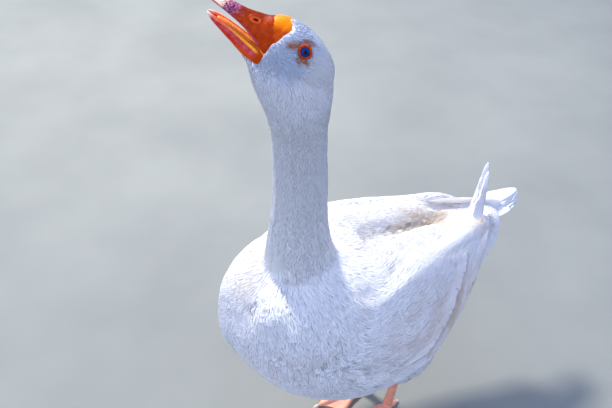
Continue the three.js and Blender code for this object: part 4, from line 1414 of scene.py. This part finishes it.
lamella = tooth_shape("lamella", 2.2, 0.85, 1.7)
spine = tooth_shape("spine", 1.5, 0.8, 2.0)
edge_at = np.linspace(40, 97, 40)
upper_edge = smooth_table(UPPER_BILL, edge_at)
lower_edge = smooth_table(LOWER_BILL, edge_at)
comb("upper_lamellae", [
    (np.stack([s * (0.87 * upper_edge[:, 0] - 1.3), edge_at, upper_edge[:, 3] + 0.9], 1), (0, 0, -1))
    for s in (1, -1)], lamella, 1.7, lower_finish)
comb("lower_lamellae", [
    (np.stack([s * (lower_edge[:, 0] - 0.9), edge_at, lower_edge[:, 1] - 0.8], 1), (0, 0, 1))
    for s in (1, -1)], lamella, 1.7, lower_finish)
tongue_at = np.linspace(40, 88, 30)
tongue_edge = smooth_table(TONGUE, tongue_at)
comb("tongue_spines", [
    (np.stack([s * (tongue_edge[:, 0] - 0.7), tongue_at, (tongue_edge[:, 1] + tongue_edge[:, 2]) / 2], 1),
     (s, -0.5, 0.2)) for s in (1, -1)], spine, 1.9, flesh_finish)
discard(lamella)
discard(spine)

# ---------------------------------------------------------------- eyes
# Each eye is a glossy ball with a blue iris, which bulges a little over the pupil. It sits in a ring of bare,
# wrinkled red-orange lid, a closed hoop that is thicker at the brow.

eye_finish, tree, shader = finish("eye", 0.1, Specular_IOR_Level=0.1, Coat_Weight=0.06, Coat_Roughness=0.02)
gaze = kept(tree, "from_pupil")
rays = mottle(tree, 1500, detail=2)
iris = mixed(tree, rays, (0.001, 0.018, 0.13), (0.002, 0.042, 0.21))
iris = mixed(tree, rises(tree, gaze, 4.2, 5.2), iris, (0.004, 0.02, 0.12))
iris = mixed(tree, rises(tree, gaze, 2.5, 2.2), iris, (0.001, 0.001, 0.002))
coloured(tree, shader, mixed(tree, rises(tree, gaze, 5.3, 5.9), iris, (0.02, 0.01, 0.01)))

lid_finish, tree, shader = finish("eye_ring", 0.5, Subsurface_Weight=0.1, Specular_IOR_Level=0.15)
coloured(tree, shader, mixed(tree, mottle(tree, 600, detail=4), (0.26, 0.010, 0.0), (0.52, 0.07, 0.002)))
relief(tree, shader, mottle(tree, 1400, detail=2), 0.1 * MM, 0.8)

EYE_RADIUS, AROUND_EYE = 8.0, 48
for hand, at, look in zip(("left", "right"), EYE_AT, EYE_LOOK):
    toward = Vector(look)
    side_way = toward.cross(Vector((0, 0, 1))).normalized()
    up_way = side_way.cross(toward)
    rings, from_pupil = [], []
    for polar in np.concatenate([np.linspace(0.002, 0.9, 30), np.linspace(0.98, 2.2, 10)]):
        bulge = 0.5 * math.exp(-(polar / 0.62) ** 4)
        out, wide = (EYE_RADIUS + bulge) * math.cos(polar), (EYE_RADIUS + bulge * 0.4) * math.sin(polar)
        rings.append([at + np.array(toward * out + (side_way * math.cos(a) + up_way * math.sin(a)) * wide)
                      for a in np.linspace(0, 2 * math.pi, AROUND_EYE + 1)[:-1]])
        from_pupil += [wide if polar < math.pi / 2 else EYE_RADIUS] * AROUND_EYE
    ball_piece = on_face_piece("eyeball_" + hand, *tube(rings), eye_finish)
    keep(ball_piece, "from_pupil", from_pupil + [0, EYE_RADIUS])
    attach(ball_piece, "root")
    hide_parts("eye_" + hand)

    rings = []
    for a in np.linspace(0, 2 * math.pi, 97)[:-1]:
        corner = 1 + 0.10 * math.cos(a) ** 8
        wrinkle = 0.12 * math.sin(a * 23) + 0.08 * math.sin(a * 37 + 1)
        spread = side_way * math.cos(a) + up_way * math.sin(a)
        brow = 1.1 * max(0.7 * spread[1] + 0.7 * spread[2], 0)
        ring = []
        for b in np.linspace(0, 2 * math.pi, 13)[:-1]:
            wide = (6.2 + 0.5 * brow + (1.25 + 0.5 * brow) * math.cos(b)) * corner
            out = 6.25 - 0.35 * brow + (1.0 + 0.2 * brow) * math.sin(b)
            out += wrinkle * max(math.sin(b), 0) - 0.35 * max(math.cos(b), 0)
            ring.append(at + np.array(toward * out + spread * wide))
        rings.append(ring)
    rings = np.array(rings)
    steps, around = rings.shape[:2]
    faces = [(s * around + a, s * around + (a + 1) % around, (s + 1) % steps * around + (a + 1) % around,
              (s + 1) % steps * around + a) for s in range(steps) for a in range(around)]
    ring_piece = on_face_piece("eye_ring_" + hand, rings.reshape(-1, 3), faces, lid_finish)
    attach(ring_piece, "root")

# ---------------------------------------------------------------- legs and feet
# Bare legs in pebbled pink-orange hide rise into the thigh's feathers. Toes are scuted above, webbed
# between, and stand flat on their pads; each claw is a blunt horn cap.

LEG_VOXEL, HIDE_SWELL, HIDE_SINK = 1.25 * MM, 0.3 * MM, 0.25 * MM
TOES = ("inner", "middle", "outer", "hind")
leg_finish, tree, shader = finish("leg_hide", 0.45, Subsurface_Weight=0.12, Coat_Weight=0.08)
shader.inputs["Subsurface Radius"].default_value = (0.004, 0.0015, 0.001)
hide = mixed(tree, mottle(tree, 60, detail=4), (0.78, 0.27, 0.17), (0.86, 0.40, 0.25))
where = node(tree, "ShaderNodeTexCoord").outputs["Object"]
cells = node(tree, "ShaderNodeTexVoronoi", {"Vector": where, "Scale": 420.0}, feature="DISTANCE_TO_EDGE")
on_scale = straight(tree, cells.outputs["Distance"], 0.0, 0.16)
coloured(tree, shader, mixed(tree, on_scale, mixed(tree, 0.35, hide, (0.45, 0.10, 0.06)), hide))
relief(tree, shader, on_scale, 0.25 * MM, 0.8)

claw_finish, tree, shader = finish("claw_horn", 0.4, Coat_Weight=0.1)
coloured(tree, shader, mixed(tree, mottle(tree, 300, detail=3), (0.55, 0.42, 0.33), (0.72, 0.60, 0.50)))
relief(tree, shader, mottle(tree, 400, detail=3, stretch=(1, 1, 4)), 0.1 * MM, 0.6)

for hand in ("left", "right"):
    shells = []
    for name in ("shank_" + hand, "foot_" + hand):
        points, normals, faces = merged(name)
        shells.append((points + HIDE_SWELL * normals, faces))
    points, faces = fused(shells, LEG_VOXEL)
    points = eased(neighbours(faces, len(points)), points, 3)
    points -= HIDE_SINK * point_normals(points, faces)
    points[:, 2] = np.maximum(points[:, 2], 0)
    leg = new_piece("leg_" + hand, points, faces, leg_finish)
    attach(leg, "root")
    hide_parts("shank_" + hand, "foot_" + hand)

    points, faces = gathered([merged(f"claw_{toe}_{hand}")[::2] for toe in TOES])
    claws = new_piece("claws_" + hand, points, faces, claw_finish)
    rounder = claws.modifiers.new("round", "SUBSURF")
    rounder.levels = rounder.render_levels = 1
    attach(claws, "root")
    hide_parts(*[f"claw_{toe}_{hand}" for toe in TOES])

size = {"cad": cad_box, "visual": [list(corner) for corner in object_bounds()]}
